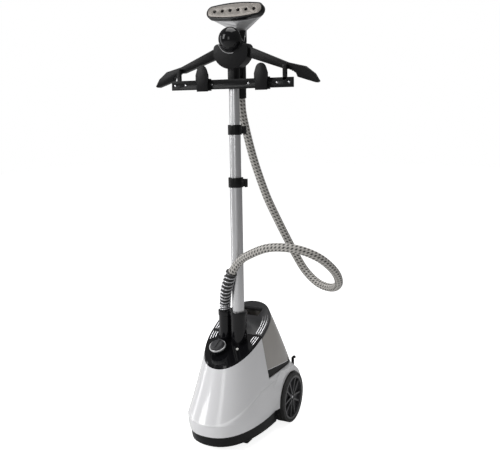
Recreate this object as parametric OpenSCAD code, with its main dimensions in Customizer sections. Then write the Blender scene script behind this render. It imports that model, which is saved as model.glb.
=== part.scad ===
// Upright garment steamer: a wheeled base with a boiler and a lift-out water
// tank, a three-section telescopic pole, a clothes hanger with trouser clips,
// and a steam handset on a flexible hose. Millimetres, +Z up, nose towards -Y.
// The origin is on the floor, below the centre of the whole object's outline.

/* [Base] */
// Length of the base from its nose to the back of its fenders
base_len = 372; // [340:1:400]
// Half the width of the shell at its widest
base_half_w = 112; // [98:1:124]
// Sideways distance from the pole to the hose socket
socket_gap = 40; // [39:1:48]
// Wall of the white shell
shell_wall = 2.6; // [2:0.1:4]
// Height of the shell's lower edge above the floor
shell_bottom_z = 50; // [44:1:58]
// Rise of the shell's lower edge for each millimetre rearwards
edge_rise = 0.07; // [0:0.01:0.1]
// Height at which the shell is widest
bulge_z = 84; // [76:1:96]
// Height of the tray's underside above the floor
tray_bottom_z = 20; // [14:1:28]
// Wall of the black tray
tray_wall = 3; // [2.4:0.1:4]
// Height of the top panel's front tip
top_tip_z = 219; // [200:1:240]
// Rise of the top panel for each millimetre rearwards
top_slope = 0.485; // [0.4:0.005:0.6]
// Half the width of the top panel
top_half_w = 76; // [66:1:82]
// Thickness of the black top panel
panel_t = 5; // [4:0.5:7]

/* [Wheels] */
// Radius of the wheel over its tyre
wheel_r = 70; // [60:1:76]
// Width of the wheel
wheel_w = 34; // [28:1:38]
// Distance from the base's centre plane to the wheel's outer face
wheel_face_x = 123; // [118:1:130]
// Thickness of the tyre
tyre_t = 9; // [6:1:12]
// Diameter of the axle rod
axle_d = 8; // [6:0.5:10]

/* [Tank] */
// Wall of the water tank
tank_wall = 2.4; // [2:0.1:3.5]
// Height of the deck that the tank stands on
deck_z = 158; // [150:1:164]
// Gap round the tank in its bay
tank_gap = 1; // [0.6:0.1:2]

/* [Pole] */
// Outer diameter of the lower tube
pole_lower_d = 32; // [30:0.5:36]
// Wall of each tube
tube_wall = 1.2; // [1:0.1:1.2]
// Radial clearance between one tube and the next
tube_gap = 0.3; // [0.2:0.05:0.3]
// Height of the lower tube's top
lower_top_z = 702; // [640:1:760]
// Height of the middle tube's top as stored
middle_top_z = 837; // [800:1:860]
// Length of the middle tube
middle_len = 430; // [380:1:450]
// Length of the upper tube
upper_len = 425; // [380:1:440]
// Height of the sockets' tops
socket_top_z = 345; // [335:1:360]

/* [Hanger] */
// Height of the centre of the hub
hub_z = 1012; // [1000:1:1030]
// Half the width of the hub
hub_half_w = 48; // [44:1:56]
// Half the span of the arms
arm_span = 232; // [200:1:260]
// Half the length of the trouser bar
bar_half_l = 172; // [160:1:185]
// Height of the trouser bar's section
bar_h = 24; // [18:1:26]
// Thickness of the trouser bar
bar_t = 7; // [5:0.5:9]
// Distance of the left trouser clip from the middle
clip_left_x = 74; // [60:1:110]
// Distance of the right trouser clip from the middle
clip_right_x = 92; // [60:1:110]
// Radius of the hub's round lock knob
dome_r = 30; // [22:1:30]

/* [Handset] */
// Width of the steam plate's bezel
head_w = 160; // [140:1:176]
// Height of the steam plate's bezel
head_h = 44; // [38:1:50]
// Upward tilt of the steam plate
head_tilt = 20; // [10:1:30]
// Diameter of the handle
handle_d = 28; // [24:0.5:32]
// Diameter of the steam holes
steam_hole_d = 9; // [6:0.5:10]

/* [Hose] */
// Diameter of the hose
hose_d = 23; // [20:0.5:24]
// Outer diameter of the spring guard
guard_d = 31; // [30:0.5:33]

/* [Hidden] */
$fn = 48;

// Datum places
nose_y = -base_len / 2;
fender_over = 16;
axle_y = base_len / 2 - wheel_r - fender_over;
pole_y = nose_y + 156;
base_x = -socket_gap / 2;
hose_x = -socket_gap;

// Outline of the body: a bulged lower ring and a smaller tilted ring on top
bulge_rear_y = axle_y + wheel_r - 6;
mid_y = pole_y + 60;
top_tip_y = nose_y + 64;
top_mid_y = pole_y + 45;
top_rear_y = top_tip_y + 238;
split_y = pole_y + 24;
nose_n = 2.4;
tail_n = 6;
deck_n = 7;
top_n = 2.2;
deck_t = 0.28;
deck_rear_y = axle_y + wheel_r - 9;
function edge_z(y) = shell_bottom_z + edge_rise * (y - nose_y);
function sgn(v) = v < 0 ? -1 : 1;
function mix(a, b, t) = a + (b - a) * t;
function top_z(y) = top_tip_z + top_slope * (y - top_tip_y);
// One point of a ring: half width w, front f, widest place m, rear r
function ring_xy(w, f, m, r, nf, nr, a) =
    let (c = cos(a), s = sin(a), n = s < 0 ? nf : nr, d = s < 0 ? m - f : r - m)
    [base_x + w * sgn(c) * pow(abs(c), 2 / n), m + d * sgn(s) * pow(abs(s), 2 / n)];
// Ring number t of the skin, with its tail ending at r and squared off by n
function skin_ring(t, r, n, a, in) =
    ring_xy(mix(base_half_w, top_half_w, t) - in, mix(nose_y, top_tip_y, t) + in,
        mix(mid_y, top_mid_y, t), r - in, mix(nose_n, top_n, t), n, a);
// Point of the body's skin: t runs from 0 at the bulge to 1 at the top, in is the inset.
// The tail runs straight from the bulge to the deck, then straight on to the top.
function skin_pt(t, a, in) =
    let (low = skin_ring(0, bulge_rear_y, tail_n, a, in),
        mid = skin_ring(deck_t, deck_rear_y, deck_n, a, in),
        high = skin_ring(1, top_rear_y, top_n, a, in),
        p = sin(a) < 0 ? skin_ring(t, 0, 1, a, in) : t < deck_t ? mix(low, mid, t / deck_t)
            : mix(mid, high, (t - deck_t) / (1 - deck_t)))
    [p[0], p[1], mix(bulge_z, top_z(p[1]), t)];
function low_pt(z, shrink, a) =
    let (p = ring_xy(base_half_w - shrink, nose_y + shrink, mid_y, bulge_rear_y - shrink,
            nose_n, tail_n, a)) [p[0], p[1], z];
// A point of the shell's lower edge, which rises towards the rear
function edge_pt(shrink, lift, a) =
    let (p = low_pt(0, shrink, a)) [p[0], p[1], edge_z(p[1]) + lift];
ring_n = 56;
ring_a = [for (i = [0 : ring_n - 1]) i * 360 / ring_n];
skin_t = [0, 0.12, deck_t, 0.46, 0.64, 0.82, 1];

// A closed solid over a stack of rings with the same number of points
module loft(rings) {
    n = len(rings[0]);
    m = len(rings);
    pts = [for (r = rings) for (p = r) p];
    side = [for (j = [0 : m - 2]) for (i = [0 : n - 1])
        [j * n + i, (j + 1) * n + i, (j + 1) * n + (i + 1) % n, j * n + (i + 1) % n]];
    bottom = [for (i = [0 : n - 1]) i];
    top = [for (i = [n - 1 : -1 : 0]) (m - 1) * n + i];
    polyhedron(points = pts, faces = concat(side, [bottom, top]), convexity = 6);
}

// The whole body form, inset by a wall, from its lower edge to the tilted top
edge_shrink = 4;
module body_form(in, foot = 0) {
    loft(concat(
        [[for (a = ring_a) edge_pt(edge_shrink + in, -foot, a)],
         [for (a = ring_a) (edge_pt(1 + in, 0, a) + skin_pt(0, a, in)) / 2]],
        [for (t = skin_t) [for (a = ring_a) skin_pt(t, a, in)]]));
}

// Wheel well and fender, both round about the axle
well_r = wheel_r + 4;
well_in_x = wheel_face_x - wheel_w - 4;
fender_r = wheel_r + fender_over;
fender_face_x = wheel_face_x - 9;
fender_up = 10;
module about_axle(side, r, x0, x1) {
    translate([base_x + side * x0, axle_y, wheel_r]) rotate([0, side * 90, 0])
        cylinder(r = r, h = x1 - x0);
}
module wheel_wells() {
    for (side = [-1, 1]) {
        about_axle(side, well_r, well_in_x, wheel_face_x + 10);
        translate([base_x + side * (well_in_x + wheel_face_x + 10) / 2, axle_y, 0])
            cube([wheel_face_x + 10 - well_in_x, well_r * 2 - 3, wheel_r * 2], center = true);
    }
}
module fender(side, in) {
    hull() {
        translate([0, 0, fender_up]) {
            about_axle(side, fender_r - in, 40, fender_face_x - 14 - in, $fn = 64);
            about_axle(side, fender_r - 9 - in, 40, fender_face_x - in, $fn = 64);
        }
        translate([base_x + side * 62, pole_y - 8 + in, shell_bottom_z + 44])
            sphere(r = 30 - in, $fn = 24);
    }
}
module behind(y) {
    translate([-400, y, 0]) cube([800, 400, 800]);
}

module base_tray() {
    color("#1c1c1e") difference() {
        union() {
            difference() {
                loft([[for (a = ring_a) low_pt(tray_bottom_z, 16, a)],
                      [for (a = ring_a) low_pt(tray_bottom_z + 5, 10, a)],
                      [for (a = ring_a) edge_pt(5, -seam_gap, a)]]);
                loft([[for (a = ring_a) low_pt(tray_bottom_z + tray_wall, 18, a)],
                      [for (a = ring_a) edge_pt(5 + tray_wall, 1, a)]]);
            }
            // Bosses that carry the axle and the boiler
            for (s = [-1, 1]) translate([base_x + s * 60 - 6, axle_y - 12, tray_bottom_z + 1])
                cube([12, 24, wheel_r + 12 - tray_bottom_z]);
            for (s = [-1, 1], y = boiler_post_y) translate([base_x + s * 34, y, tray_bottom_z + 1])
                cylinder(d = 10, h = boiler_z - tray_bottom_z - 1);
        }
        wheel_wells();
        translate([base_x, axle_y, wheel_r]) rotate([0, 90, 0])
            cylinder(d = axle_d + 0.1, h = 200, center = true);
        for (p = tray_screw_xy) translate([p[0], p[1], 0]) cylinder(d = screw_d, h = 40);
    }
}

seam_gap = 0.3;
screw_d = 4;
tray_screw_xy = [[base_x - 60, nose_y + 70], [base_x + 60, nose_y + 70],
    [base_x - 40, axle_y + 14], [base_x + 40, axle_y + 14]];
module tray_screws() {
    color("#8a8a8c") for (p = tray_screw_xy) translate([p[0], p[1], 0]) {
        translate([0, 0, tray_bottom_z - 2]) cylinder(d = 8, h = 2);
        translate([0, 0, tray_bottom_z - 1]) cylinder(d = screw_d, h = 12);
    }
}

module body_shell() {
    color("#f2f2f2") difference() {
        union() {
            body_form(0, 2);
            for (s = [-1, 1]) fender(s, 0);
        }
        union() {
            difference() {
                body_form(shell_wall, 5);
                translate([0, 0, deck_z - shell_wall]) behind(split_y - shell_wall);
            }
            for (s = [-1, 1]) difference() {
                fender(s, shell_wall);
                translate([0, 0, deck_z - shell_wall]) behind(split_y - shell_wall);
                about_axle(s, well_r + shell_wall, well_in_x - shell_wall, 200);
            }
        }
        // Tank bay, the recess for the top panel, and the open floor
        translate([-400, split_y, deck_z]) cube([800, 400, 400]);
        panel_slot(0.2);
        wheel_wells();
        translate([0, nose_y, shell_bottom_z]) rotate([atan(edge_rise), 0, 0])
            translate([-400, -200, -400]) cube([800, 800, 400]);
        outlet_hole(0.5);
        cord_hole(0.2);
        for (s = [-1, 1]) hook_foot(s, 0.05);
        translate([base_x, seat_port_y, deck_z - 20]) cylinder(d = post_d + 0.1, h = 40);
    }
}

// Everything above the panel's underside and ahead of the tank
module panel_slot(gap) {
    rotate_top() translate([-400, -400, -panel_t - gap]) cube([800, 400 + split_len + gap, 400]);
}
// Moves a piece into the tilted plane of the top, at its tip
module rotate_top() {
    translate([base_x, top_tip_y, top_tip_z]) rotate([atan(top_slope), 0, 0]) children();
}
split_len = (split_y - top_tip_y) / cos(atan(top_slope));

module top_panel() {
    color("#141416") difference() {
        union() {
            intersection() {
                body_form(0.1);
                panel_slot(0);
                translate([-400, -400, 0]) cube([800, 400 + split_y, 500]);
            }
            rotate_top() translate([knob_at[0], knob_at[1], -1]) cylinder(d = knob_d + 10,
                h = knob_at[2] + 1);
        }
        // Holes for the two sockets and the knob's spindle
        translate([0, pole_y, 100]) cylinder(d = socket_od(pole_lower_d) + 0.2, h = 400);
        translate([hose_x, pole_y, 100]) cylinder(d = hose_sock_d + 0.2, h = 400);
        rotate_top() translate(knob_at) cylinder(d = switch_d + 0.2, h = 100, center = true);
        rotate_top() translate([lens_at[0], lens_at[1], -2]) cylinder(d = lens_d + 0.1, h = 10);
    }
}

socket_wall = 6;
function socket_od(d) = d + 2 * socket_wall;
hose_sock_d = 35;
socket_low_z = 200;
module pole_socket() {
    color("#161618") difference() {
        union() {
            translate([0, pole_y, socket_low_z])
                cylinder(d = socket_od(pole_lower_d), h = socket_top_z - socket_low_z);
            translate([0, pole_y, socket_top_z - 8]) cylinder(d = socket_od(pole_lower_d) + 3, h = 8);
        }
        translate([0, pole_y, socket_low_z + 4])
            cylinder(d = pole_lower_d + 0.1, h = 400);
        translate([hose_x, pole_y, 100]) cylinder(d = hose_sock_d + 3.4, h = 400);
    }
}

outlet_bore = 9;
module hose_socket() {
    color("#161618") difference() {
        union() {
            translate([hose_x, pole_y, socket_low_z + 20])
                cylinder(d = hose_sock_d, h = socket_top_z - socket_low_z - 20);
            translate([hose_x, pole_y, socket_top_z - 14]) cylinder(d = hose_sock_d + 3, h = 14);
        }
        translate([hose_x, pole_y, socket_low_z]) cylinder(d = outlet_bore, h = 400);
        translate([hose_x, pole_y, socket_top_z - hose_seat]) cylinder(d = guard_d + 2, h = 40);
    }
}
hose_seat = 10;
module outlet_hole(gap) {
    translate([hose_x, pole_y, 180]) cylinder(d = hose_sock_d + 3 + gap, h = 400);
    translate([0, pole_y, 180]) cylinder(d = socket_od(pole_lower_d) + 3 + gap, h = 400);
}

// Control knob with its ring and switch, square to the top panel
knob_at = [-22, 60, 8];
knob_d = 38;
switch_d = 8;
module knob_ring() {
    color("#c8c8cc") rotate_top() translate(knob_at) difference() {
        cylinder(d = knob_d + 8, h = 6);
        translate([0, 0, -1]) cylinder(d = knob_d + 0.8, h = 10);
    }
}
module control_knob() {
    color("#3a3a3e") rotate_top() translate(knob_at + [0, 0, 0.4]) difference() {
        union() {
            cylinder(d = knob_d, h = 8);
            translate([0, 0, 8]) cylinder(d1 = knob_d, d2 = knob_d - 8, h = 4);
            translate([-3, -knob_d / 2 + 3, 11]) cube([6, knob_d - 6, 4]);
        }
        translate([0, 0, -1]) cylinder(d = switch_d + 0.06, h = 8);
    }
}
module rotary_switch() {
    color("#55555a") rotate_top() translate([knob_at[0], knob_at[1], 0]) {
        translate([-11, -11, -panel_t - 16]) cube([22, 22, 15.8]);
        translate([0, 0, -panel_t - 1]) cylinder(d = switch_d, h = panel_t + 7 + knob_at[2]);
    }
}
lens_at = [30, 70];
lens_d = 7;
module indicator_lens() {
    color("#e8e0d0") rotate_top() translate([lens_at[0], lens_at[1], -2])
        cylinder(d = lens_d, h = 3);
}

foot_at = [60, pole_y - 38];
module front_feet() {
    color("#101010") for (s = [-1, 1])
        translate([base_x + s * foot_at[0], foot_at[1], tray_bottom_z / 2])
            cube([16, 30, tray_bottom_z], center = true);
}

module axle_rod() {
    color("#9a9a9c") translate([base_x, axle_y, wheel_r]) rotate([0, 90, 0])
        cylinder(d = axle_d, h = 2 * (wheel_face_x - 4), center = true);
}
module axle_clips() {
    color("#7a7a7c") for (s = [-1, 1])
        translate([base_x + s * (wheel_face_x - 7.5), axle_y, wheel_r]) rotate([0, 90, 0])
            difference() {
                cylinder(d = axle_d + 6, h = 1.5, center = true);
                cylinder(d = axle_d, h = 4, center = true);
            }
}

spoke_n = 5;
rim_out_r = wheel_r - tyre_t;
module tyre(side) {
    about(side) rotate_extrude() translate([rim_out_r, 0]) difference() {
        translate([0, 0.5]) square([tyre_t, wheel_w - 1]);
        translate([tyre_t, wheel_w / 2]) square([1.6, 6], center = true);
    }
}
// Wheel frame: the local z axis runs outwards from the wheel's inner face
module about(side) {
    translate([base_x + side * (wheel_face_x - wheel_w), axle_y, wheel_r])
        rotate([0, side * 90, 0]) children();
}
hub_r = 13;
module rim(side) {
    about(side) difference() {
        union() {
            difference() {
                cylinder(r = rim_out_r, h = wheel_w);
                translate([0, 0, wheel_w - 10]) cylinder(r = rim_out_r - 5, h = 20);
                translate([0, 0, -1]) cylinder(r = rim_out_r - 5, h = wheel_w - 13);
            }
            cylinder(r = hub_r, h = wheel_w - 9);
            for (i = [0 : spoke_n - 1]) rotate([0, 0, i * 360 / spoke_n]) for (k = [-1, 1])
                rotate([0, 0, k * 11]) translate([8, k * 3 - 2, wheel_w - 12])
                    cube([rim_out_r - 10, 4, 9]);
        }
        translate([0, 0, -1]) cylinder(d = axle_d + 0.12, h = wheel_w + 2);
        translate([0, 0, wheel_w - 9.2]) cylinder(r = axle_d / 2 + 4, h = 20);
    }
}
module tyre_left() { color("#202022") tyre(-1); }
module tyre_right() { color("#202022") tyre(1); }
module rim_left() { color("#4a4a4e") rim(-1); }
module rim_right() { color("#4a4a4e") rim(1); }

// Boiler and plumbing inside the base
boiler_z = 62;
boiler_y = pole_y - 44;
boiler_post_y = [boiler_y - 30, boiler_y + 30];
boiler_d = 84;
module boiler() {
    color("#b8b8ba") difference() {
        union() {
            translate([base_x, boiler_y, boiler_z + 6]) cylinder(d = boiler_d, h = 60);
            translate([base_x, boiler_y, boiler_z]) cylinder(d = boiler_d + 12, h = 6);
        }
        translate([base_x, boiler_y, boiler_z + 18]) cylinder(d = boiler_d - 8, h = 60);
        translate([base_x, boiler_y, boiler_z + 6]) rotate_extrude() translate([28, 0])
            circle(d = 8.2, $fn = 24);
    }
}
module heating_element() {
    color("#6a5a50") translate([base_x, boiler_y, boiler_z + 6]) rotate_extrude()
        translate([28, 0]) circle(d = 8, $fn = 24);
}
module boiler_gasket() {
    color("#8c3a28") translate([base_x, boiler_y, boiler_z + 66]) difference() {
        cylinder(d = boiler_d, h = 2);
        translate([0, 0, -1]) cylinder(d = boiler_d - 8, h = 4);
    }
}
module boiler_lid() {
    color("#c4c4c6") translate([base_x, boiler_y, boiler_z + 68]) difference() {
        cylinder(d = boiler_d, h = 8);
        translate([lid_port[0], lid_port[1], -1]) cylinder(d = outlet_bore, h = 20);
        translate([lid_inlet[0], lid_inlet[1], -1]) cylinder(d = water_d, h = 20);
    }
}
lid_port = [hose_x - base_x, 20];
lid_inlet = [22, 22];
water_d = 7;
module thermostat() {
    color("#d8d0c0") translate([base_x + 8, boiler_y - 22, boiler_z + 76]) {
        cylinder(d = 18, h = 8);
        translate([-9, -2, 8]) cube([18, 4, 6]);
    }
}
// A straight run of pipe between two points, with a round elbow at each end
module pipe_run(a, b, d) {
    v = b - a;
    translate(a) rotate([0, acos(v[2] / norm(v)), atan2(v[1], v[0])]) cylinder(d = d, h = norm(v));
    for (p = [a, b]) translate(p) sphere(d = d + 1.5);
}
steam_a = [hose_x, boiler_y + 20, boiler_z + 121];
steam_b = [hose_x, pole_y, socket_low_z + 8];
module steam_pipe() {
    color("#d09040") {
        translate([steam_a[0], steam_a[1], boiler_z + 72])
            cylinder(d = outlet_bore - 0.1, h = steam_a[2] - boiler_z - 72);
        pipe_run(steam_a, steam_b, outlet_bore - 1);
        translate(steam_b) cylinder(d = outlet_bore - 0.1, h = 60);
    }
}
seat_port_y = pole_y + 82;
water_a = [base_x + 22, boiler_y + 22, boiler_z + 92];
water_b = [base_x, seat_port_y, deck_z - 12];
module water_pipe() {
    color("#e8e4d8") {
        translate([water_a[0], water_a[1], boiler_z + 70]) cylinder(d = water_d - 0.1, h = 22);
        pipe_run(water_a, water_b, water_d - 1);
        translate(water_b) cylinder(d = water_d - 0.1, h = 11);
    }
}

// Tank seat: a black plate on the deck with the valve well
seat_t = 5;
well_d = 44;
module tank_seat() {
    color("#1a1a1c") difference() {
        intersection() {
            body_form(shell_wall + tank_gap);
            translate([-400, split_y + tank_gap, deck_z + 0.1]) cube([800, 400, seat_t]);
        }
        translate([base_x, seat_port_y, deck_z + 2]) cylinder(d = well_d, h = 20);
        translate([base_x, seat_port_y, deck_z - 5]) cylinder(d = post_d + 0.1, h = 20);
    }
}
post_d = 10;
module seat_valve_post() {
    color("#2c2c30") translate([base_x, seat_port_y, deck_z]) difference() {
        union() {
            translate([0, 0, -8]) cylinder(d = post_d, h = 10);
            cylinder(d = 4, h = 3.6);
        }
        translate([0, 0, -9]) cylinder(d = water_d, h = 9);
        for (a = [0, 120, 240]) rotate([0, 0, a]) translate([3.4, 0, -5]) cylinder(d = 2, h = 12);
    }
}

// Water tank: the rear of the body form above its seat
tank_z = deck_z + seat_t + tank_gap;
lid_t = 9;
module tank_outer(in) {
    intersection() {
        body_form(in);
        translate([-400, split_y + tank_gap + in, tank_z + in]) cube([800, 400, 400]);
    }
}
module under_lid(drop) {
    rotate_top() translate([-400, -400, -800 - drop]) cube([800, 1200, 800]);
}
module tank_shell() {
    color("#77736e", 0.55) difference() {
        intersection() {
            tank_outer(0.6);
            under_lid(lid_t);
        }
        intersection() {
            tank_outer(0.6 + tank_wall);
            under_lid(lid_t - 40);
        }
        translate([base_x, seat_port_y, deck_z]) cylinder(d = cap_thread_d + 0.16, h = 20);
    }
}
handle_open_y = [top_rear_y - 54, top_rear_y - 22];
module tank_lid() {
    color("#26262a") difference() {
        intersection() {
            tank_outer(0.6);
            rotate_top() translate([-400, -400, -lid_t + 0.1]) cube([800, 1200, lid_t + 20]);
        }
        // Hand hole just ahead of the rear rim
        translate([base_x - 34, handle_open_y[0], 100])
            cube([68, handle_open_y[1] - handle_open_y[0], 400]);
        translate([0, pole_y, 100]) cylinder(d = socket_od(pole_lower_d) + 5, h = 400);
    }
}
// Cap in the tank's floor. Its sprung valve closes the bore from above, under a cage.
cap_d = 38;
cap_thread_d = 30;
cap_z = deck_z + 2.6;
valve_d = 5;
disc_d = 12;
disc_t = 2;
pocket_z = 3;
pocket_h = 9;
cap_h = 14;
module tank_cap() {
    color("#303034") translate([base_x, seat_port_y, cap_z]) difference() {
        union() {
            cylinder(d = cap_d, h = seat_t - 2.6 + tank_gap + 0.3);
            cylinder(d = cap_thread_d, h = cap_h);
        }
        translate([0, 0, -1]) cylinder(d = valve_d + 0.1, h = 6);
        translate([0, 0, -1]) cylinder(d = disc_d, h = 2.2);
        translate([0, 0, pocket_z]) cylinder(d = disc_d + 2, h = pocket_h);
        for (a = [0, 120, 240]) rotate([0, 0, a]) translate([6, 0, pocket_z + 1])
            cylinder(d = 4, h = 30);
    }
}
module tank_valve() {
    color("#c05030") translate([base_x, seat_port_y, cap_z]) {
        translate([0, 0, pocket_z + 0.01]) cylinder(d = disc_d, h = disc_t);
        translate([0, 0, 1.4]) cylinder(d = valve_d, h = pocket_z);
    }
}
module valve_spring() {
    color("#b0b0b0") translate([base_x, seat_port_y, cap_z + pocket_z + disc_t + 0.01]) difference() {
        cylinder(d = 10, h = pocket_h - disc_t - 0.01);
        translate([0, 0, -1]) cylinder(d = 8, h = 20);
    }
}

module cord_hole(gap) {
    translate([base_x, bulge_rear_y - 20, cord_z]) rotate([-90, 0, 0])
        cylinder(d = gland_d + gap, h = 60);
}
cord_z = 96;
gland_d = 14;
module cord_gland() {
    color("#121214") translate([base_x, bulge_rear_y - 8, cord_z]) rotate([-90, 0, 0])
        difference() {
            union() {
                cylinder(d = gland_d, h = 20);
                cylinder(d = gland_d + 4, h = 4);
            }
            translate([0, 0, -1]) cylinder(d = 7, h = 60);
        }
}
// Cord hooks: a small post on each fender with a lip towards the rear
hook_w = 7;
hook_x = base_half_w - 12;
hook_y = axle_y + 48;
hook_z = 152;
hook_h = 18;
module hook_foot(side, gap) {
    translate([base_x + side * hook_x, hook_y, hook_z - 4])
        cube([hook_w + 2 * gap, hook_w + 2 * gap, 12], center = true);
}
module cord_hook() {
    color("#161618") for (s = [-1, 1]) {
        hook_foot(s, 0);
        translate([base_x + s * hook_x - hook_w / 2, hook_y - hook_w / 2, hook_z]) {
            cube([hook_w, hook_w, hook_h]);
            translate([0, 0, hook_h - 4]) cube([hook_w, 18, 4]);
            translate([0, 15, hook_h - 8]) cube([hook_w, 3, 8]);
        }
    }
}

// Telescopic pole
module tube(d, z0, z1) {
    translate([0, pole_y, z0]) difference() {
        cylinder(d = d, h = z1 - z0);
        translate([0, 0, -1]) cylinder(d = d - 2 * tube_wall, h = z1 - z0 + 2);
    }
}
step_d = 2 * (tube_wall + tube_gap);
pole_middle_d = pole_lower_d - step_d;
pole_upper_d = pole_middle_d - step_d;
collar_h = 25;
collar_t = 3.4;
module pole_lower() { color("#c9cacc") tube(pole_lower_d, socket_low_z + 4, lower_top_z); }
module pole_middle() { color("#c9cacc") tube(pole_middle_d, middle_top_z - middle_len, middle_top_z); }
upper_top_z = hub_z - 20;
module pole_upper() { color("#c9cacc") tube(pole_upper_d, upper_top_z - upper_len, upper_top_z); }

// Clamp collar on a tube's end, with ears for its lever at the +X side
ear_gap = 8;
ear_l = 11;
axis_out = collar_t + 4.4;
axis_down = 6;
lever_pin_d = 4;
module collar(d, inner_d, z1) {
    translate([0, pole_y, z1 - collar_h + 1]) difference() {
        union() {
            cylinder(d = d + 2 * collar_t, h = collar_h);
            for (s = [-1, 1]) translate([d / 2 + 0.5, s * (ear_gap / 2 + 1.5) - 1.5, 3])
                cube([ear_l - 0.5, 3, collar_h - 6]);
        }
        translate([0, 0, -1]) cylinder(d = d + 0.02, h = collar_h);
        translate([0, 0, -1]) cylinder(d = inner_d + 2 * tube_gap, h = collar_h + 2);
        translate([d / 2 + axis_out, 0, collar_h - axis_down]) rotate([90, 0, 0])
            cylinder(d = lever_pin_d, h = 60, center = true);
    }
}
// Cam lever with its own pin, turning between the ears
module lever(d, z1) {
    translate([d / 2 + axis_out, pole_y, z1 + 1 - axis_down]) {
        rotate([90, 0, 0]) cylinder(d = 6, h = ear_gap - 0.6, center = true);
        rotate([90, 0, 0]) cylinder(d = lever_pin_d - 0.06, h = ear_gap + 5.8, center = true);
        translate([0, -ear_gap / 2 + 0.3, -9]) cube([5, ear_gap - 0.6, 9]);
        translate([4.6, -ear_gap / 2 - 2.5, -18]) cube([3, ear_gap + 5, 21.3]);
    }
}
module collar_lower() { color("#18181a") collar(pole_lower_d, pole_middle_d, lower_top_z); }
module collar_upper() { color("#18181a") collar(pole_middle_d, pole_upper_d, middle_top_z); }
module lever_lower() { color("#101012") lever(pole_lower_d, lower_top_z); }
module lever_upper() { color("#101012") lever(pole_middle_d, middle_top_z); }

// Hanger: hub on the pole, two arms, and the trouser bar in front of the pole
hub_t = 32;
hub_y0 = pole_y - pole_upper_d / 2 - 4;
hub_h = 64;
bar_back_y = pole_y - pole_upper_d / 2 - 3;
bar_y = bar_back_y - bar_t / 2;
bar_z = hub_z - 72;
hub_corner_r = 12;
knob_up = 38;
// A half disc with round shoulders
module hub_outline() {
    w = hub_half_w;
    intersection() {
        translate([0, 16]) circle(r = w + 3, $fn = 96);
        union() {
            translate([-w, -hub_h]) square([2 * w, hub_h + 15]);
            translate([hub_corner_r - w, 0]) square([2 * (w - hub_corner_r), 27]);
            for (s = [-1, 1]) translate([s * (w - hub_corner_r), 15])
                circle(r = hub_corner_r);
        }
    }
}
module hanger_hub() {
    color("#131315") difference() {
        union() {
            translate([0, hub_y0 + hub_t, hub_z]) rotate([90, 0, 0])
                linear_extrude(hub_t) hub_outline();
            translate([0, hub_y0 + hub_t - 6, hub_z + knob_up]) rotate([90, 0, 0])
                cylinder(r = 20, h = hub_t - 6);
            translate([0, pole_y, hub_z - 72]) cylinder(d = pole_upper_d + 5, h = 60);
            translate([-9, bar_back_y, bar_z - bar_h / 2]) cube([18, 18, bar_h + 20]);
        }
        translate([0, pole_y, hub_z - 100]) cylinder(d = pole_upper_d + 0.02, h = 80);
        translate([0, 0, hub_z + knob_up]) rotate([90, 0, 0])
            cylinder(d = knob_pin_d + 0.1, h = 200);
        for (s = [-1, 1]) arm(s, 0.1);
    }
}
// Side view of the right arm, from its root inside the hub out to its tip
arm_t = 18;
arm_y = hub_y0 + hub_t / 2 + arm_t / 2;
arm_root = 34;
arm_top = [[arm_root, 23.5], [arm_span - 82, -24], [arm_span - 36, -35], [arm_span - 12, -53],
    [arm_span, -72]];
arm_low = [[arm_span - 6, -75], [arm_span - 32, -67], [arm_span - 54, -60], [arm_span - 58, -50],
    [arm_span - 62, -49], [arm_span - 64, -45], [arm_span - 68, -46], [arm_span - 70, -42],
    [arm_span - 74, -43], [arm_span - 76, -40], [arm_span - 88, -40], [arm_root, -4]];
module arm(side, gap = 0) {
    translate([0, arm_y + gap, hub_z]) rotate([90, 0, 0]) linear_extrude(arm_t + 2 * gap)
        mirror([side < 0 ? 1 : 0, 0, 0]) polygon(concat(arm_top, arm_low));
}
module arm_left() { color("#151517") arm(-1); }
module arm_right() { color("#151517") arm(1); }

bar_post_x = arm_span - 82;
post_w = 10;
post_top_z = hub_z - 30;
bar_hole_x = [20, 52, bar_half_l - 42, bar_half_l - 10];
module trouser_bar() {
    color("#121214") difference() {
        union() {
            translate([-bar_half_l, bar_y - bar_t / 2, bar_z - bar_h / 2])
                cube([2 * bar_half_l, bar_t, bar_h]);
            for (s = [-1, 1]) translate([s * bar_post_x - post_w / 2, bar_y - bar_t / 2, bar_z]) {
                cube([post_w, bar_t, post_top_z - bar_z]);
                translate([0, 0, post_top_z - bar_z - 6])
                    cube([post_w, arm_y - arm_t - bar_y + bar_t / 2, 6]);
            }
        }
        for (s = [-1, 1], x = bar_hole_x) translate([s * x, 0, bar_z]) rotate([90, 0, 0])
            cylinder(d = 3.2, h = 200);
    }
}
module bar_screws() {
    color("#a8a8ac") for (s = [-1, 1], x = bar_hole_x)
        translate([s * x, bar_y + bar_t / 2, bar_z]) rotate([90, 0, 0]) cylinder(d = 3.2, h = bar_t);
}

knob_pin_d = 8;
module hub_knob() {
    color("#0e0e10") {
        intersection() {
            translate([0, hub_y0 + 2, hub_z + knob_up]) sphere(r = dome_r);
            translate([-100, hub_y0 - 100.4, hub_z - 100]) cube([200, 100, 300]);
        }
        translate([0, hub_y0 + 14, hub_z + knob_up]) rotate([90, 0, 0])
            cylinder(d = knob_pin_d, h = 18);
    }
}

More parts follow.
